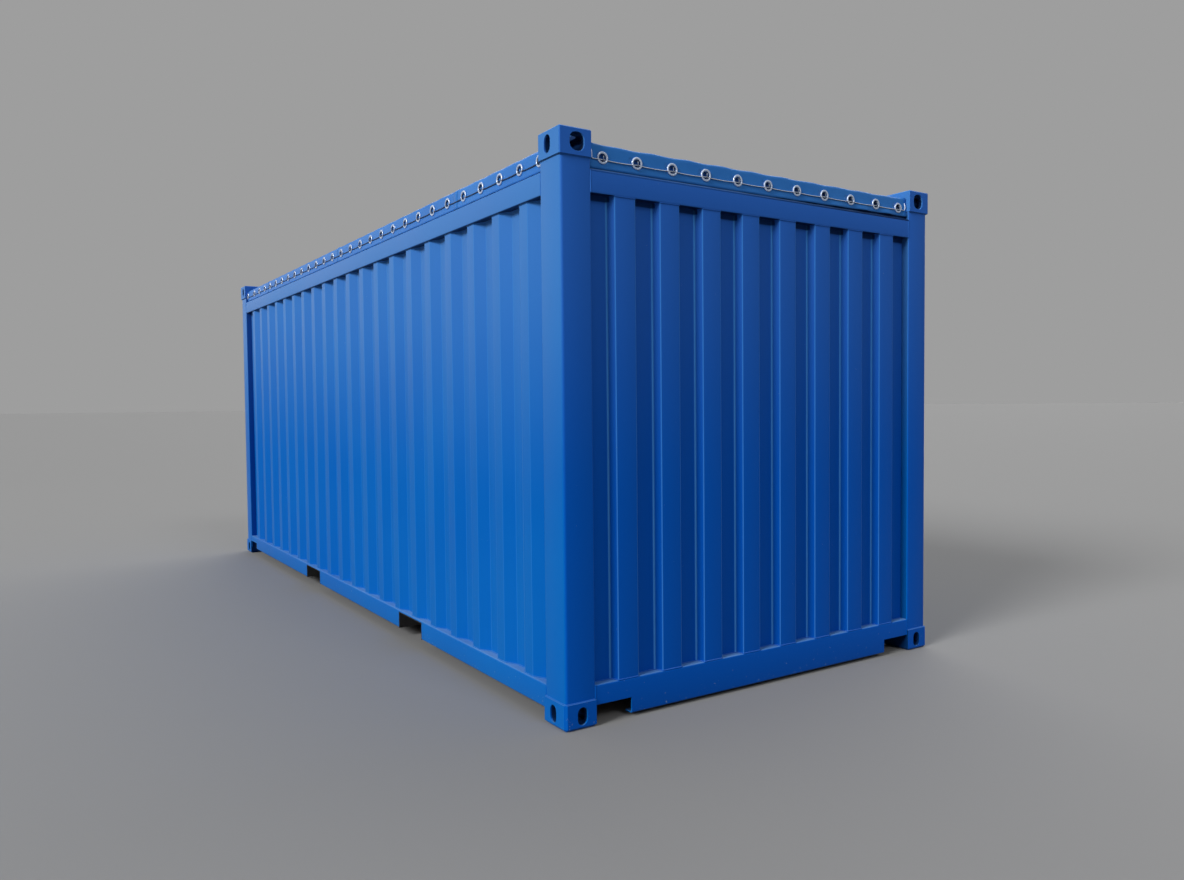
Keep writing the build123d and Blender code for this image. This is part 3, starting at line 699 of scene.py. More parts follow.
finishes = {
    "frame_paint": enamel("sprayed enamel on pressed steel", 9, 0.5, 0.40, 0.30, "flanges"),
    "wall_paint": enamel("sprayed enamel on corrugated sheet", 14, 0.6, 0.42, 0.05, "recesses"),
    "door_paint": enamel("sprayed enamel on door sheet", 14, 0.6, 0.42, 0.05),
    "casting_paint": enamel("brushed enamel on cast steel", 6, 1.6, 0.48, 0.20, "castings"),
    "underside_coat": mottled("brushed bitumen coat", 0.03, "#0B0B0C", "#262525", 0.75, 5.0, 0.002, 0.6),
    "tarpaulin": coated_fabric(),
    "lacing_steel": zinc("zinc-coated lacing steel", "#E2EDFF", "#B4C8E6", 3, 0.28, 0.4),
    "galvanised_steel": zinc("hot-dip galvanised steel", "#B9BEC2", "#A0A6AB", 12, 0.42),
    "plywood": mottled(
        "rotary-cut plywood", 0.012, "#6B3F22", "#A9743F", 0.7, 6.0, 0.0008, 0.3, along=0.06, wave=1.2),
    "rubber": mottled("extruded rubber seal", 0.08, "#141516", "#33353A", 0.65, 5.0),
}
rope_finish = wire_rope()
staple_finish = zinc("tarnished zinc on forged wire", "#7E8894", "#525C69", 3, 0.45)
node_slots = {part["node"]: part["material_slot"] for part in frame["record"]["subparts"]}
for node_name, node_object in frame["nodes"].items():
    for material_slot in node_object.material_slots:
        material_slot.material = finishes[node_slots[node_name]]


# Cast and forged pieces with round edges

edge_radii = {
    "_casting": 0.0045, "_hinges": 0.002, "_lock_bars": 0.0015, "_guides": 0.0015, "_keepers": 0.002,
    "_handles": 0.002, "_catches": 0.002,
}
for node_name, node_object in frame["nodes"].items():
    radius = next((width for ending, width in edge_radii.items() if node_name.endswith(ending)), None)
    if radius:
        shape = bmesh.new()
        shape.from_mesh(node_object.data)
        bmesh.ops.remove_doubles(shape, verts=shape.verts, dist=1e-5)
        bmesh.ops.dissolve_limit(shape, angle_limit=math.radians(1), verts=shape.verts, edges=shape.edges)
        points = [tuple(vertex.co) for vertex in shape.verts]
        sides = [[vertex.index for vertex in face.verts] for face in shape.faces]
        shape.free()
        rounded = piece(f"rounded_{node_name}", (points, sides), node_slots[node_name], node_name)
        edges = rounded.modifiers.new("round edges", "BEVEL")
        edges.width = radius
        edges.segments = 3
        edges.limit_method = "ANGLE"
        edges.angle_limit = math.radians(30)


# Pressed frame members with bent edges

post_bends = np.array([lip_bend, post_bend, lip_bend])
for end, sx in ENDS:
    end_lip = front_lip if sx > 0 else rear_lip
    for side, sy in SIDES:
        corner = np.array([
            (inner_x, side_face - side_lip), (inner_x, side_face), (end_face, side_face),
            (end_face, inner_y), (end_face - end_lip, inner_y),
        ]) * (sx, sy)
        if sx * sy > 0:
            corner = corner[::-1]
        post = pressed(corner, post_bends, post_sheet, (post_bottom, post_top), (0, 1, 2))
        piece(f"{end}_{side}_pressed_post", post, "frame_paint", f"{end}_{side}_post")


def channel_spans(face, lower_flange, bottom, top, sign, spans, order):
    """Channel with cut-outs: spans of (start, end, cut), full where cut is None, else from cut up."""
    parts = []
    for start, stop, cut in spans:
        section = [(face, cut)] if cut else [(face - lower_flange, bottom), (face, bottom)]
        section = np.array(section + [(face, top), (face - rail_upper_flange, top)]) * (sign, 1)
        if sign < 0:
            section = section[::-1]
        parts.append(pressed(section, rail_bend, rail_sheet, (start, stop), order))
    return joined(parts)


rear_pocket, front_pocket = (
    (place - pocket_cut / 2, place + pocket_cut / 2) for place in sorted(pocket_places)
)
side_spans = (
    (-inner_x, -inner_x + rear_notch_length, rear_notch_top),
    (-inner_x + rear_notch_length, rear_pocket[0], None),
    (*rear_pocket, pocket_top),
    (rear_pocket[1], front_pocket[0], None),
    (*front_pocket, pocket_top),
    (front_pocket[1], inner_x, None),
)
for side, sy in SIDES:
    rail = channel_spans(side_face, rail_lower_flange, rail_bottom, rail_top, sy, side_spans, (1, 2, 0))
    piece(f"{side}_bottom_channel", rail, "frame_paint", f"{side}_bottom_rail")
sill_spans = (
    (-inner_y, -inner_y + sill_notch_length, sill_notch_top),
    (-inner_y + sill_notch_length, inner_y - sill_notch_length, None),
    (inner_y - sill_notch_length, inner_y, sill_notch_top),
)
for name, node_name, face, sx in (
    ("front_bottom_channel", "front_bottom_rail", end_face, 1),
    ("rear_door_sill_channel", "rear_door_sill", door_face, -1),
):
    sill = channel_spans(face, sill_lower_flange, sill_bottom, sill_top, sx, sill_spans, (0, 2, 1))
    piece(name, sill, "frame_paint", node_name)


def top_section(face, sign, lower_setback, depth):
    """Corners of a top rail's section: lower face, step under the hem, recessed upper face and back."""
    return np.array([
        (face - lower_setback, top_rail_bottom),
        (face - lower_setback, top_rail_step),
        (face - top_rail_recess, top_rail_step + top_rail_slope),
        (face - top_rail_recess, top_rail_top),
        (face - depth, top_rail_top),
        (face - depth, top_rail_bottom),
    ]) * (sign, 1)


side_rail_bends = np.array([top_rail_bend] * 3 + [side_rail_roll] + [top_rail_bend] * 2)
for side, sy in SIDES:
    section = top_section(side_face, sy, 0, top_rail_depth)
    rail = bar(section, side_rail_bends, (-inner_x, inner_x), (1, 2, 0))
    piece(f"{side}_top_box", rail, "frame_paint", f"{side}_top_rail")
for node_name, sx, setback, depth in (
    ("front_top_rail", 1, 0, top_rail_depth),
    ("rear_header", -1, door_setback, door_setback + door_thickness),
):
    section = top_section(end_face, sx, setback, depth)
    rail = bar(section, top_rail_bend, (-inner_y, inner_y), (0, 2, 1))
    piece(f"{node_name}_box", rail, "frame_paint", node_name)


# Corrugated walls, a little uneven between their welded edges

wall_buckle = 0.0016
wall_rows = 19
door_rows = 13
any_phase = 6.28
sheet_waves = 5


def corrugation(start, stop, first_rib, pitch, rib, slope, outer, depth):
    """Corners of a trapezoid corrugation: ribs stand out at outer, recesses lie depth further in."""
    ribs = int((stop - first_rib) // pitch + 1)
    ribs -= first_rib + (ribs - 1) * pitch + rib + slope > stop
    feet = first_rib + pitch * np.arange(ribs)
    along = np.stack([feet - slope, feet, feet + rib, feet + rib + slope], 1).ravel()
    out = np.tile([outer - depth, outer, outer, outer - depth], ribs)
    return np.concatenate([[(start, outer - depth)], np.stack([along, out], 1), [(stop, outer - depth)]])


def buckled(line, bends, stations, order, along_axis):
    """Pressed sheet with a swell: slow waves along and up it, fading by a sine to nothing at its edges."""
    phases = rng.uniform(0, any_phase, sheet_waves)

    def swell(points, places):
        rise = (places - stations[0]) / (stations[-1] - stations[0])
        hold = np.clip(np.sin(np.pi * rise), 0, 1)[:, None]
        return wall_buckle * hold * waves(phases, 2.3 * points[None, :, along_axis], 3.1 * places[:, None])
    return pressed(line, bends, wall_sheet, stations, order, swell)


side_line = corrugation(
    -inner_x, inner_x, -inner_x + side_first_recess + side_slope, side_pitch, side_rib, side_slope,
    side_wall_outer, side_wall_depth,
)
side_stations = np.linspace(rail_top, top_rail_bottom, wall_rows)
for side, sy in SIDES:
    line = side_line * (-1, sy)
    if sy < 0:
        line = line[::-1]
    sheet = buckled(line, side_bend, side_stations, (0, 1, 2), 0)
    wall = piece(f"{side}_corrugated_sheet", sheet, "wall_paint", f"{side}_wall", sharp=50)
    mark_bends(wall, np.ones(len(side_line) - 2), wall_rows)
front_ribs = int(2 * inner_y // front_pitch)
front_line = corrugation(
    -inner_y, inner_y, -(front_ribs - 1) * front_pitch / 2 - front_rib / 2, front_pitch, front_rib,
    front_slope, front_wall_outer, front_wall_depth,
)[:, ::-1]
front_bends = np.tile(
    [front_inner_bend, front_bend, front_bend, front_inner_bend], (len(front_line) - 2) // 4)
sheet = buckled(front_line, front_bends, np.linspace(sill_top, top_rail_bottom, wall_rows), (0, 1, 2), 1)
wall = piece("front_corrugated_sheet", sheet, "wall_paint", "front_wall", sharp=50)
mark_bends(wall, np.where(front_bends > front_bend, 1.0, front_rib_highlight), wall_rows)


# Doors: a sheet with level corrugations in a frame of square tube

door_stile = 0.100
door_rail = 0.150
door_panel_setback = 0.006
door_panel_depth = 0.030
door_panel_ribs = 5
door_panel_slope = 0.040
tube_bend = 0.006
for side, sy in SIDES:
    (_, low_y, leaf_bottom), (door_back, high_y, leaf_top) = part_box(f"{side}_door")
    panel_bottom = leaf_bottom + door_rail
    panel_top = leaf_top - door_rail
    panel_pitch = (panel_top - panel_bottom) / door_panel_ribs
    panel_line = corrugation(
        panel_bottom, panel_top, panel_bottom + panel_pitch / 4 + door_panel_slope / 2, panel_pitch,
        panel_pitch / 2 - door_panel_slope, door_panel_slope, door_face - door_panel_setback,
        door_panel_depth,
    )
    across = np.linspace(low_y + door_stile, high_y - door_stile, door_rows)
    parts = [buckled(panel_line[::-1, ::-1] * (-1, 1), side_bend, across, (0, 2, 1), 1)]
    for start, stop, reach, order in (
        (low_y, across[0], (leaf_bottom, leaf_top), (0, 1, 2)),
        (across[-1], high_y, (leaf_bottom, leaf_top), (0, 1, 2)),
        (leaf_bottom, panel_bottom, (across[0], across[-1]), (0, 2, 1)),
        (panel_top, leaf_top, (across[0], across[-1]), (0, 2, 1)),
    ):
        section = [(-door_face, start), (door_back, start), (door_back, stop), (-door_face, stop)]
        parts.append(bar(section, tube_bend, reach, order))
    piece(f"{side}_door_leaf", joined(parts), "door_paint", f"{side}_door", sharp=50)


# Bolt heads on the feet of the bar guides and on the hinge blades

bolt_radius = 0.008
bolt_height = 0.005
bolt_sunk = 0.001
bolt_sides = 12
guide_foot = 0.006
hinge_blade = 0.010
guide_row_inset = 0.225
middle_guide_row = 1.480
hinge_row_inset = 0.165
hinge_pin_inset = 0.017
inner_bar_inset = 0.130
outer_bar_inset = 0.289
guide_bolt_shift = 0.040
blade_bolts = (0.070, 0.110)


def bolt_head(x, y, z):
    """Button head on a face that looks to -X: rings of a dome, their radius by cosine and height by sine."""
    rise = np.linspace(0, 0.45 * np.pi, 5)[:, None]
    theta = np.arange(bolt_sides) * 2 * np.pi / bolt_sides
    return closed_shape(np.stack(np.broadcast_arrays(
        x + bolt_sunk - (bolt_height + bolt_sunk) * np.sin(rise),
        y + bolt_radius * np.cos(rise) * np.cos(theta),
        z + bolt_radius * np.cos(rise) * np.sin(theta),
    ), -1))


guide_rows = (leaf_low[2] + guide_row_inset, middle_guide_row, leaf_high[2] - guide_row_inset)
hinge_rows = np.linspace(leaf_low[2] + hinge_row_inset, leaf_high[2] - hinge_row_inset, 4)
bar_places = (leaf_low[1] + inner_bar_inset, leaf_high[1] - outer_bar_inset)
guide_places = [place + shift for place in bar_places for shift in (-guide_bolt_shift, guide_bolt_shift)]
blade_places = [inner_y - hinge_pin_inset - shift for shift in blade_bolts]
bolts = []
for sy in (1, -1):
    for thickness, places, heights in (
        (guide_foot, guide_places, guide_rows), (hinge_blade, blade_places, hinge_rows),
    ):
        bolts += [bolt_head(-door_face - thickness, sy * y, z) for y in places for z in heights]
piece("door_bolt_heads", joined(bolts), "galvanised_steel")


# Weld beads

weld_radius = 0.0035
weld_pitch = 0.008
joint_depth = 0.002


def measured(path):
    """Distance along a path at each of its points."""
    return np.concatenate([[0], np.cumsum(np.linalg.norm(np.diff(path, axis=0), axis=1))])


def at_places(path, places):
    """Points at the given distances along a path, on straight lines between its points."""
    return np.stack([np.interp(places, measured(path), path[:, axis]) for axis in range(3)], 1)


def bead(path, up):
    """Weld bead: a round bar along the path whose radius swells and narrows once every pitch."""
    even = at_places(path, np.arange(0, measured(path)[-1], weld_pitch / 2))
    ripple = 1 + 0.2 * (-1.0) ** np.arange(len(even)) + 0.1 * np.sin(even.sum(1) * 37)
    return tube(even, weld_radius, 6, up, ripple[:, None])


def level_bead(line, height):
    """Weld bead along a level line of (x, y) points."""
    return bead(np.column_stack([line, np.full(len(line), height)]), (0, 0, 1))


def upright_beads(x, y, spans, up):
    """Weld beads up the spans of (low, high) at one place."""
    return [bead(np.array([(x, y, low), (x, y, high)]), up) for low, high in spans]


side_edge = {sy: bent(side_line * (-1, sy), side_bend)[0] for sy in (1, -1)}
front_edge = bent(front_line, front_bends)[0]
beads = [level_bead(side_edge[sy], height) for height in (rail_top, top_rail_bottom) for sy in (1, -1)]
beads += [level_bead(front_edge, height) for height in (sill_top, top_rail_bottom)]
piece("wall_welds", joined(beads), "wall_paint", sharp=180)
beads = []
top_joint = (top_rail_bottom, top_rail_step)
for sx in (1, -1):
    for sy in (1, -1):
        corner = np.array([(inner_x, side_face), (end_face, side_face), (end_face, inner_y)]) * (sx, sy)
        beads += [level_bead(corner, height) for height in (post_bottom, post_top)]
        joints = ((rail_bottom, rail_top), top_joint)
        beads += upright_beads(sx * inner_x, sy * (side_face - joint_depth), joints, (1, 0, 0))
for sy in (1, -1):
    joints = ((sill_notch_top, sill_top), top_joint)
    beads += upright_beads(end_face - joint_depth, sy * inner_y, joints, (0, 1, 0))
piece("frame_welds", joined(beads), "frame_paint", sharp=180)


# Tarpaulin

cloth_step = 0.027
ring_clearance = 0.035
bow_sag = 0.011
crown_loss = 0.35
top_wave = 0.003
top_ripple = 0.0012
end_margin = 0.3
side_margin = 0.15
skirt_out = 0.006
skirt_in = 0.001
end_skirt_most = 0.012
side_skirt_most = 0.010
hem_wave = 0.0006
hem_drop = 0.003
loose_hem_rise = 0.009
edge_pucker = 0.0035
edge_reach = 0.16
end_edge_drop = 0.002
side_edge_drop = 0.003
edge_crease = 0.0022
corner_lift = 0.006
corner_reach = 0.09


def folded(flat, reach, fold):
    """Place along and drop of a cloth that lies flat, turns down over an edge of radius fold and hangs.

    flat is the distance measured on the cloth from the middle; reach is where the hanging part stands.
    """
    size = np.abs(flat)
    flat_end = reach - fold
    turn = np.clip((size - flat_end) / fold, 0, np.pi / 2)
    along = np.minimum(size, flat_end) + fold * np.sin(turn)
    hang = np.clip(size - flat_end - fold * np.pi / 2, 0, None)
    return np.sign(flat) * along, fold * (1 - np.cos(turn)) + hang


def skirt_lines(reach, fold):
    """Cloth distances of a skirt's rows: over the fold, then down to the hem, with rows at the holes."""
    turn = reach - fold + fold * np.linspace(0.25, 1, 4) * np.pi / 2
    upper = top_rail_top + tarp_gap - fold
    hole_top = eyelet_height + ring_hole_height / 2
    hole_bottom = eyelet_height - ring_hole_height / 2
    hang = upper - np.concatenate([
        np.linspace(upper, hole_top, 4)[1:], [eyelet_height], np.linspace(hole_bottom, tarp_hem, 4),
    ])
    return np.concatenate([turn, turn[-1] + hang])


def eyelet_lines(eyelets, limit):
    """Places of the grid's lines along a skirt: at each eyelet's middle and edges, and evenly between."""
    half = ring_hole_width / 2
    marks = np.sort(np.concatenate([eyelets + shift for shift in (-half, 0, half)]))
    marks = np.concatenate([[-limit], marks, [limit]])
    counts = np.maximum(2, np.round(np.diff(marks) / cloth_step).astype(int) + 1)
    parts = [np.linspace(a, b, count)[:-1] for a, b, count in zip(marks, marks[1:], counts)]
    return np.concatenate(parts + [[limit]])


def from_eyelet(place, eyelets):
    """Distance to the nearest eyelet."""
    return np.abs(place[..., None] - eyelets).min(-1)


def looseness(place, eyelets):
    """Nothing at an eyelet, where the cloth is pulled in, rising by a cosine to one half a pitch away."""
    return 0.5 - 0.5 * np.cos(np.pi * np.clip(from_eyelet(place, eyelets) / (eyelet_pitch / 2), 0, 1))


def away_from_rings(place, eyelets):
    """Nothing over the width of a ring and one clear of it, so that the cloth lies flat under the metal."""
    t = np.clip((from_eyelet(place, eyelets) - ring_width / 2) / ring_clearance, 0, 1)
    return t * t * (3 - 2 * t)


notch_x = inner_x - tarp_gap
notch_y = inner_y - tarp_gap
seams = middle_seam + cloth_width * np.arange(-1, 2)
seam_sides = np.array([-1, 1])
seam_lines = np.add.outer(seams, np.concatenate([
    seam_sides * seam_lap / 2, seam_sides * (seam_lap / 2 - seam_edge),
])).ravel()
u_top = np.sort(np.concatenate([eyelet_lines(side_eyelets, notch_x), seam_lines]))
v_top = eyelet_lines(front_eyelets, notch_y)
u_edge = np.append(np.linspace(notch_x, tarp_end - end_fold, 7)[1:], skirt_lines(tarp_end, end_fold))
v_edge = np.append(np.linspace(notch_y, tarp_side - side_fold, 6)[1:], skirt_lines(tarp_side, side_fold))
u_lines = np.concatenate([-u_edge[::-1], u_top, u_edge])
v_lines = np.concatenate([-v_edge[::-1], v_top, v_edge])
u, v = np.meshgrid(u_lines, v_lines, indexing="ij")
x, x_drop = folded(u, tarp_end, end_fold)
y, y_drop = folded(v, tarp_side, side_fold)
phase_sets = rng.uniform(0, any_phase, (6, 6))

# The top: a crown that rises from the ends, sags between the bows and ripples a little
crown = tarp_crown - top_rail_top - tarp_gap
arch = 1 - (y / tarp_side) ** 2
ramp = np.clip((tarp_end - np.abs(x)) / tarp_rise, 0, 1)
ramp = ramp * (2 - ramp)
between_bows = 0.5 - 0.5 * np.cos(np.pi * x / bow_half_spacing)
inside = np.clip((tarp_end - np.abs(x)) / end_margin, 0, 1)
inside = inside * np.clip((tarp_side - np.abs(y)) / side_margin, 0, 1)
z = top_rail_top + tarp_gap - x_drop - y_drop + crown * arch * ramp * (1 - crown_loss * between_bows)
sag = bow_sag * between_bows * (1 - arch) * arch
z += inside * (top_wave * waves(phase_sets[0], 3.1 * x, 4.3 * y) - sag)

# The skirts: they stand off between the rings, at the ends more towards the left, and their hems wave
hang_x = np.clip((x_drop - end_fold) / (top_rail_top - tarp_hem), 0, 1)
hang_y = np.clip((y_drop - side_fold) / (top_rail_top - tarp_hem), 0, 1)
loose_front = looseness(v, front_eyelets)
loose_side = looseness(u, side_eyelets)
slack = np.clip(0.35 + 1.3 * v, 0, 1.6)
bulge_x = skirt_out * hang_x ** 3 * away_from_rings(v, front_eyelets) * (
    (0.5 + 0.8 * loose_front) * slack + 0.5 * waves(phase_sets[1], 9 * v) + 0.2
)
bulge_y = 0.5 * skirt_out * hang_y ** 3 * away_from_rings(u, side_eyelets) * (
    0.3 + 0.7 * loose_side + 0.5 * waves(phase_sets[2], 8 * u)
)
x = x + np.sign(u) * np.clip(bulge_x, -skirt_in, end_skirt_most)
y = y + np.sign(v) * np.clip(bulge_y, -skirt_in, side_skirt_most)
hem_rise = hem_wave * waves(phase_sets[3], 6 * u + 5 * v) - hem_drop
z += hang_x ** 2 * (hem_rise + loose_hem_rise * np.clip(slack - 0.4, 0, 1))
z += hang_y ** 2 * hem_rise

# The edges: puckers between the eyelets, creases across them, and corners lifted beside the castings
z += top_ripple * waves(phase_sets[4], 31 * u, 23 * v) * np.clip(1 - hang_x - hang_y, 0, 1) * inside
near_end = np.exp(-((tarp_end - np.abs(x)) / edge_reach) ** 2) * (1 - hang_x)
near_side = np.exp(-((tarp_side - np.abs(y)) / edge_reach) ** 2) * (1 - hang_y)
z += near_end * (edge_pucker * loose_front * (1 + waves(phase_sets[5], 17 * v)) - end_edge_drop)
z += near_side * (0.5 * edge_pucker * loose_side * (1 + waves(phase_sets[5], 15 * u)) - side_edge_drop)
crease = edge_crease * waves(phase_sets[1], 47 * v + 9 * u) * waves(phase_sets[2], 8 * u, 11 * v)
z += crease * np.clip(near_end + near_side, 0, 1)
z += near_end * corner_lift * np.exp(-((notch_y - np.abs(v)) / corner_reach) ** 2)

# The lap seams: one cloth's thickness up on the top, and out on the side skirts
lap = seam_rise * np.clip((seam_lap / 2 - np.abs(u[..., None] - seams).min(-1)) / seam_edge, 0, 1)
upright = np.clip(y_drop / side_fold, 0, 1)
z += lap * (1 - upright)
y = y + np.sign(v) * lap * upright

# The sheet: the grid without its corners and eyelet holes
cloth = np.stack([x, y, z], -1).reshape(-1, 3)
quads = grid_faces(*u.shape)
middle_u = u.ravel()[quads].mean(1)
middle_v = v.ravel()[quads].mean(1)
drop_at = (x_drop + y_drop).ravel()[quads].mean(1)
corner_cut = (np.abs(middle_u) > notch_x) & (np.abs(middle_v) > notch_y)
level = np.abs(top_rail_top + tarp_gap - drop_at - eyelet_height) < ring_hole_height / 2
end_holes = (np.abs(middle_u) > tarp_end) & (from_eyelet(middle_v, front_eyelets) < ring_hole_width / 2)
side_holes = (np.abs(middle_v) > tarp_side) & (from_eyelet(middle_u, side_eyelets) < ring_hole_width / 2)
kept = quads[~(corner_cut | (level & (end_holes | side_holes)))]
flat_sizes = np.stack([np.ptp(u.ravel()[kept], axis=1), np.ptp(v.ravel()[kept], axis=1)], 1)
flat_area = float(flat_sizes.prod(1).sum())
used, renumbered = np.unique(kept, return_inverse=True)
tarp = piece(
    "laced_tarpaulin", (cloth[used], renumbered.reshape(-1, 4)), "tarpaulin", "tarpaulin", sharp=60)
thicken = tarp.modifiers.new("cloth thickness", "SOLIDIFY")
thicken.thickness = tarp_thickness
thicken.offset = -1.0


# Eyelet rings, staples and the lacing cable


def ring(place, axis, sign):
    """Pressed oval ring round an eyelet, on the sheet's point nearest to it.

    A flat round-edged band is swept round an ellipse across the axis; sizes differ by a few percent.
    """
    centre = np.zeros(3)
    centre[1 - axis] = place
    centre[axis] = sign * (tarp_end, tarp_side)[axis]
    centre[2] = eyelet_height
    nearest = np.linalg.norm(cloth - centre, axis=1).argmin()
    centre[axis] = cloth[nearest, axis] + sign * ring_standoff
    size = rng.uniform(0.96, 1.03)
    theta = np.arange(32)[:, None] * 2 * np.pi / 32
    phi = np.arange(8) * 2 * np.pi / 8
    across = (ring_width + ring_hole_width + (ring_width - ring_hole_width) * np.cos(phi)) / 4
    upward = (ring_height + ring_hole_height + (ring_height - ring_hole_height) * np.cos(phi)) / 4
    rings = np.zeros((32, 8, 3))
    rings[..., 1 - axis] = size * across * np.cos(theta)
    rings[..., 2] = size * upward * np.sin(theta)
    rings[..., axis] = sign * (ring_thickness / 2) * (0.35 + np.sin(phi))
    return closed_shape(rings + centre, looped=True)


def staple(place, axis, sign):
    """Round bar bent to a U: out from the rail's face, down, and back, with arcs at its two corners."""
    half = staple_bar / 2
    face = (end_face, side_face)[axis] - top_rail_recess
    root = face - staple_root
    out = face + staple_reach - half
    top = staple_high - half
    bottom = staple_low + half
    path, _ = bent([(root, top), (out, top), (out, bottom), (root, bottom)], staple_bend, 5)
    points = np.zeros((len(path), 3))
    points[:, axis] = sign * path[:, 0]
    points[:, 1 - axis] = place
    points[:, 2] = path[:, 1]
    return tube(points, half, 8, np.eye(3)[1 - axis])


rings = []
staples = {}
for axis, sides, eyelets in ((0, ENDS, front_eyelets), (1, SIDES, side_eyelets)):
    for side, sign in sides:
        rings += [ring(place, axis, sign) for place in eyelets]
        staples[side] = [staple(place, axis, sign) for place in eyelets]
rings_piece = piece("eyelet_rings", joined(rings), "lacing_steel", sharp=180)
for side, parts in staples.items():
    piece(f"{side}_round_staples", joined(parts), "lacing_steel", f"{side}_tie_staples", 180, staple_finish)

cable_low, cable_high = np.array(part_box("lacing_cable")) + np.array([[cable_radius], [-cable_radius]])
cable_end, cable_side, cable_top = cable_high
cable_level = cable_low[2]
cable_x = inner_x - 0.015
cable_y = inner_y - 0.015
cable_lift = 0.012
cable_sag = 0.0035
cable_step = 0.007
cable_sides = 12
cable_strands = 6
strand_relief = 0.14


def sagging(start, stop, places, axis, other):
    """Run through the staples: straight from each to the next but for a parabola's sag between them."""
    stops = np.array([start, *sorted(places, reverse=start > stop), stop])
    spans = np.diff(stops)[:, None]
    t = np.linspace(0, 1, 12)[:-1]
    dip = 4 * t * (1 - t) * (spans / eyelet_pitch) ** 2
    points = np.full((dip.size, 3), other)
    points[:, axis] = (stops[:-1, None] + spans * t).ravel()
    points[:, 2] = cable_level - cable_sag * dip.ravel()
    return points


def over_corner(sx, sy):
    """Turn round a casting, by parabolas: up one skirt, over the tarpaulin and down the next skirt."""
    foot = cable_level + cable_lift
    corners = np.array([
        (cable_end, cable_y, foot), (cable_end, cable_y, cable_top), (cable_x, cable_y, cable_top),
        (cable_x, cable_side, cable_top), (cable_x, cable_side, foot),
    ]) * (sx, sy, 1)
    if sx * sy < 0:
        corners = corners[::-1]
    middles = (corners[1:] + corners[:-1]) / 2
    t = np.linspace(0, 1, 9)[:-1, None, None]
    ends = np.concatenate([corners[:1], middles[1:-1], corners[-1:]])
    curve = (1 - t) ** 2 * ends[:-1] + 2 * t * (1 - t) * corners[1:-1] + t ** 2 * ends[1:]
    return curve.transpose(1, 0, 2).reshape(-1, 3)


turns = []
for sign in (1, -1):
    turns += [
        sagging(-sign * cable_y, sign * cable_y, front_eyelets, 1, sign * cable_end),
        over_corner(sign, sign),
        sagging(sign * cable_x, -sign * cable_x, side_eyelets, 0, sign * cable_side),
        over_corner(-sign, sign),
    ]
loop = np.concatenate([*turns, turns[0][:1]])
length = measured(loop)[-1]
even = np.linspace(0, length, int(length / cable_step))[:-1]
strand_angle = np.arange(cable_sides) * 2 * np.pi / cable_sides
twist = np.cos(cable_strands * strand_angle - 2 * np.pi * even[:, None] / cable_lay)
twist = (1 + strand_relief * twist) / (1 + strand_relief)
cable = tube(at_places(loop, even), cable_radius, cable_sides, (0.02, 0.03, 1), twist, looped=True)
piece("twisted_lacing_cable", cable, "lacing_steel", "lacing_cable", 180, rope_finish)


# Floor, light and camera

floor_size = 400.0
floor_mesh = bpy.data.meshes.new("studio_floor")
floor_corners = np.array([(-1, -1, 0), (1, -1, 0), (1, 1, 0), (-1, 1, 0)]) * floor_size
floor_mesh.from_pydata(floor_corners.tolist(), [], [(0, 1, 2, 3)])
floor_material, floor_tree = new_material("matt studio floor")
surface(floor_tree, {"Base Color": linear("#909090"), "Roughness": 0.9, "Specular IOR Level": 0.1})
floor_mesh.materials.append(floor_material)
add_object("studio_floor", floor_mesh)

world = bpy.data.worlds.new("studio")
bpy.context.scene.world = world
world.use_nodes = True
tree = world.node_tree
tree.nodes.clear()
ray = put(tree, "LightPath").outputs
seen = ray["Is Camera Ray"]
for kind in ("Is Glossy Ray", "Is Transmission Ray"):
    seen = put(tree, "Math", {0: seen, 1: ray[kind]}, 0, operation="MAXIMUM")
way = put(tree, "TexCoord", out="Generated")
upward = put(tree, "SeparateXYZ", {"Vector": way}, "Z")
overhead = put(tree, "MapRange", {"Value": upward, "To Min": 0.08, "To Max": 0.44}, 0)
ambient = put(tree, "Background", {"Color": (1, 1, 1, 1), "Strength": overhead}, 0)
backdrop = put(tree, "Background", {"Color": linear("#9E9E9E"), "Strength": 1.0}, 0)
either = put(tree, "MixShader", {0: seen, 1: ambient, 2: backdrop}, 0)
put(tree, "OutputWorld", {"Surface": either})


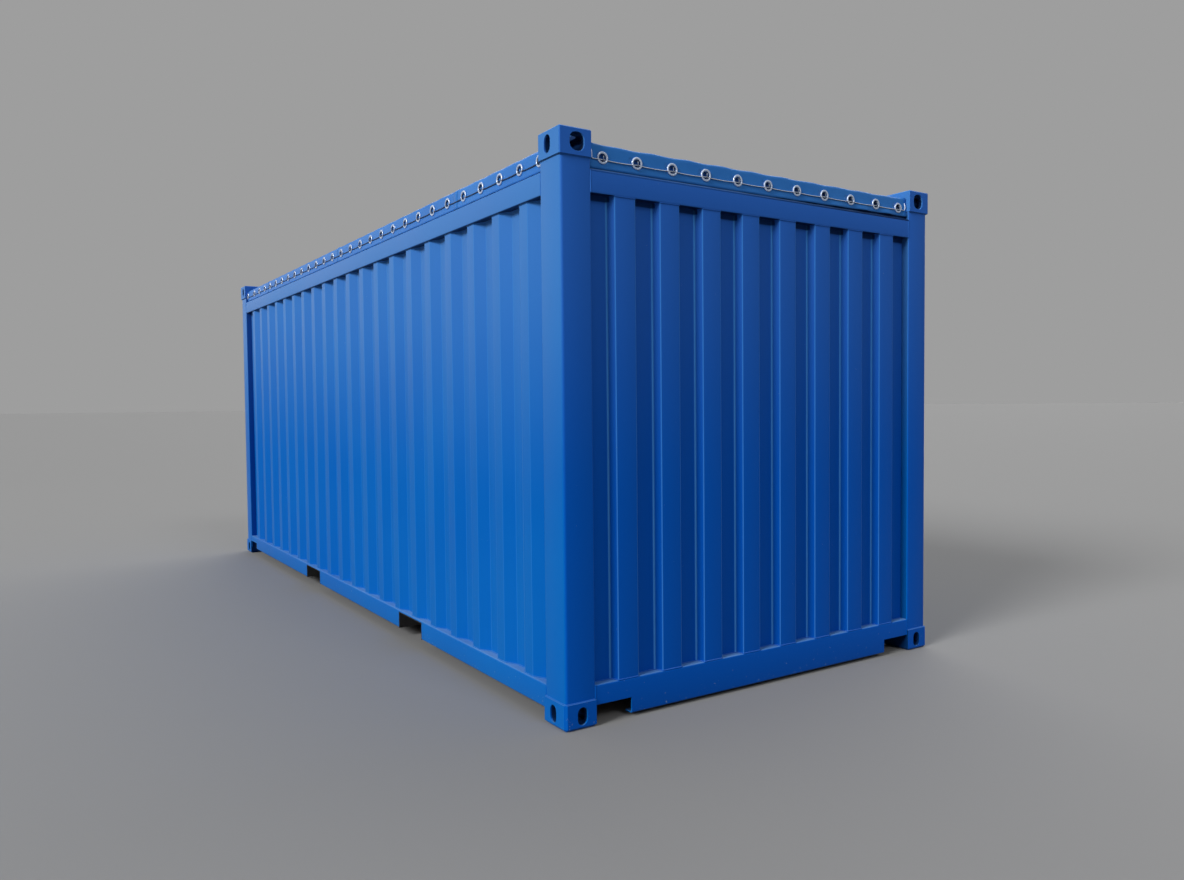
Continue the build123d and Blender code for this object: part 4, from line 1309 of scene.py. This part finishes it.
def stand(thing, spot, right, up, back):
    """Put a lamp or camera at a spot: its axes point right, up and back from what it faces."""
    matrix = np.eye(4)
    matrix[:3] = np.stack([right, up, back, spot], 1)
    thing.matrix_world = Matrix(matrix.tolist())


def aimed(thing, spot, target):
    """Turn a lamp at spot so that it shines on the target: its -Z axis along the line between them."""
    back = np.array(spot) - target
    back /= np.linalg.norm(back)
    right = np.cross((0, 0, 1), back)
    right /= np.linalg.norm(right)
    stand(thing, spot, right, np.cross(back, right), back)


for name, strength, spread, spot in (
    ("soft_key", 2.7, 22, (1.1, -6.2, 3.5)),
    ("front_fill", 0.4, 15, (6.4, 0.6, 5.4)),
    ("back_fill", 1.5, 70, (-5.0, 6.0, 5.0)),
):
    sun = bpy.data.lights.new(name, "SUN")
    sun.energy = strength
    sun.angle = math.radians(spread)
    aimed(add_object(name, sun), spot, (0, 0, 0))
softbox = bpy.data.lights.new("side_softbox", "AREA")
softbox.shape = "RECTANGLE"
softbox.size = 10.0
softbox.size_y = 6.0
softbox.energy = 110.0
softbox_object = add_object("side_softbox", softbox)
aimed(softbox_object, (-14.0, -7.0, 5.5), (0, -1.2, 1.5))
softbox_object.visible_camera = False
softbox_object.visible_diffuse = False

# The camera fitted to the photograph: focal length in pixels, place and angles
focal_px = 902.3
picture_width_px = 1184
camera_spot = (6.305, -3.201, 1.414)
azimuth, elevation, roll = np.radians((56.94, 2.25, -0.55))
camera_data = bpy.data.cameras.new("camera")
camera_data.sensor_width = 36.0
camera_data.lens = camera_data.sensor_width * focal_px / picture_width_px
camera_data.clip_end = 1200.0
camera = add_object("camera", camera_data)
level_right = np.array([np.cos(azimuth), np.sin(azimuth), 0])
level_back = np.array([np.sin(azimuth), -np.cos(azimuth), 0])
back = np.cos(elevation) * level_back + np.array([0, 0, np.sin(elevation)])
level_up = np.cross(back, level_right)
camera_right = np.cos(roll) * level_right + np.sin(roll) * level_up
camera_up = np.cos(roll) * level_up - np.sin(roll) * level_right
stand(camera, camera_spot, camera_right, camera_up, back)
bpy.context.scene.camera = camera
bpy.context.scene.view_settings.view_transform = "Standard"
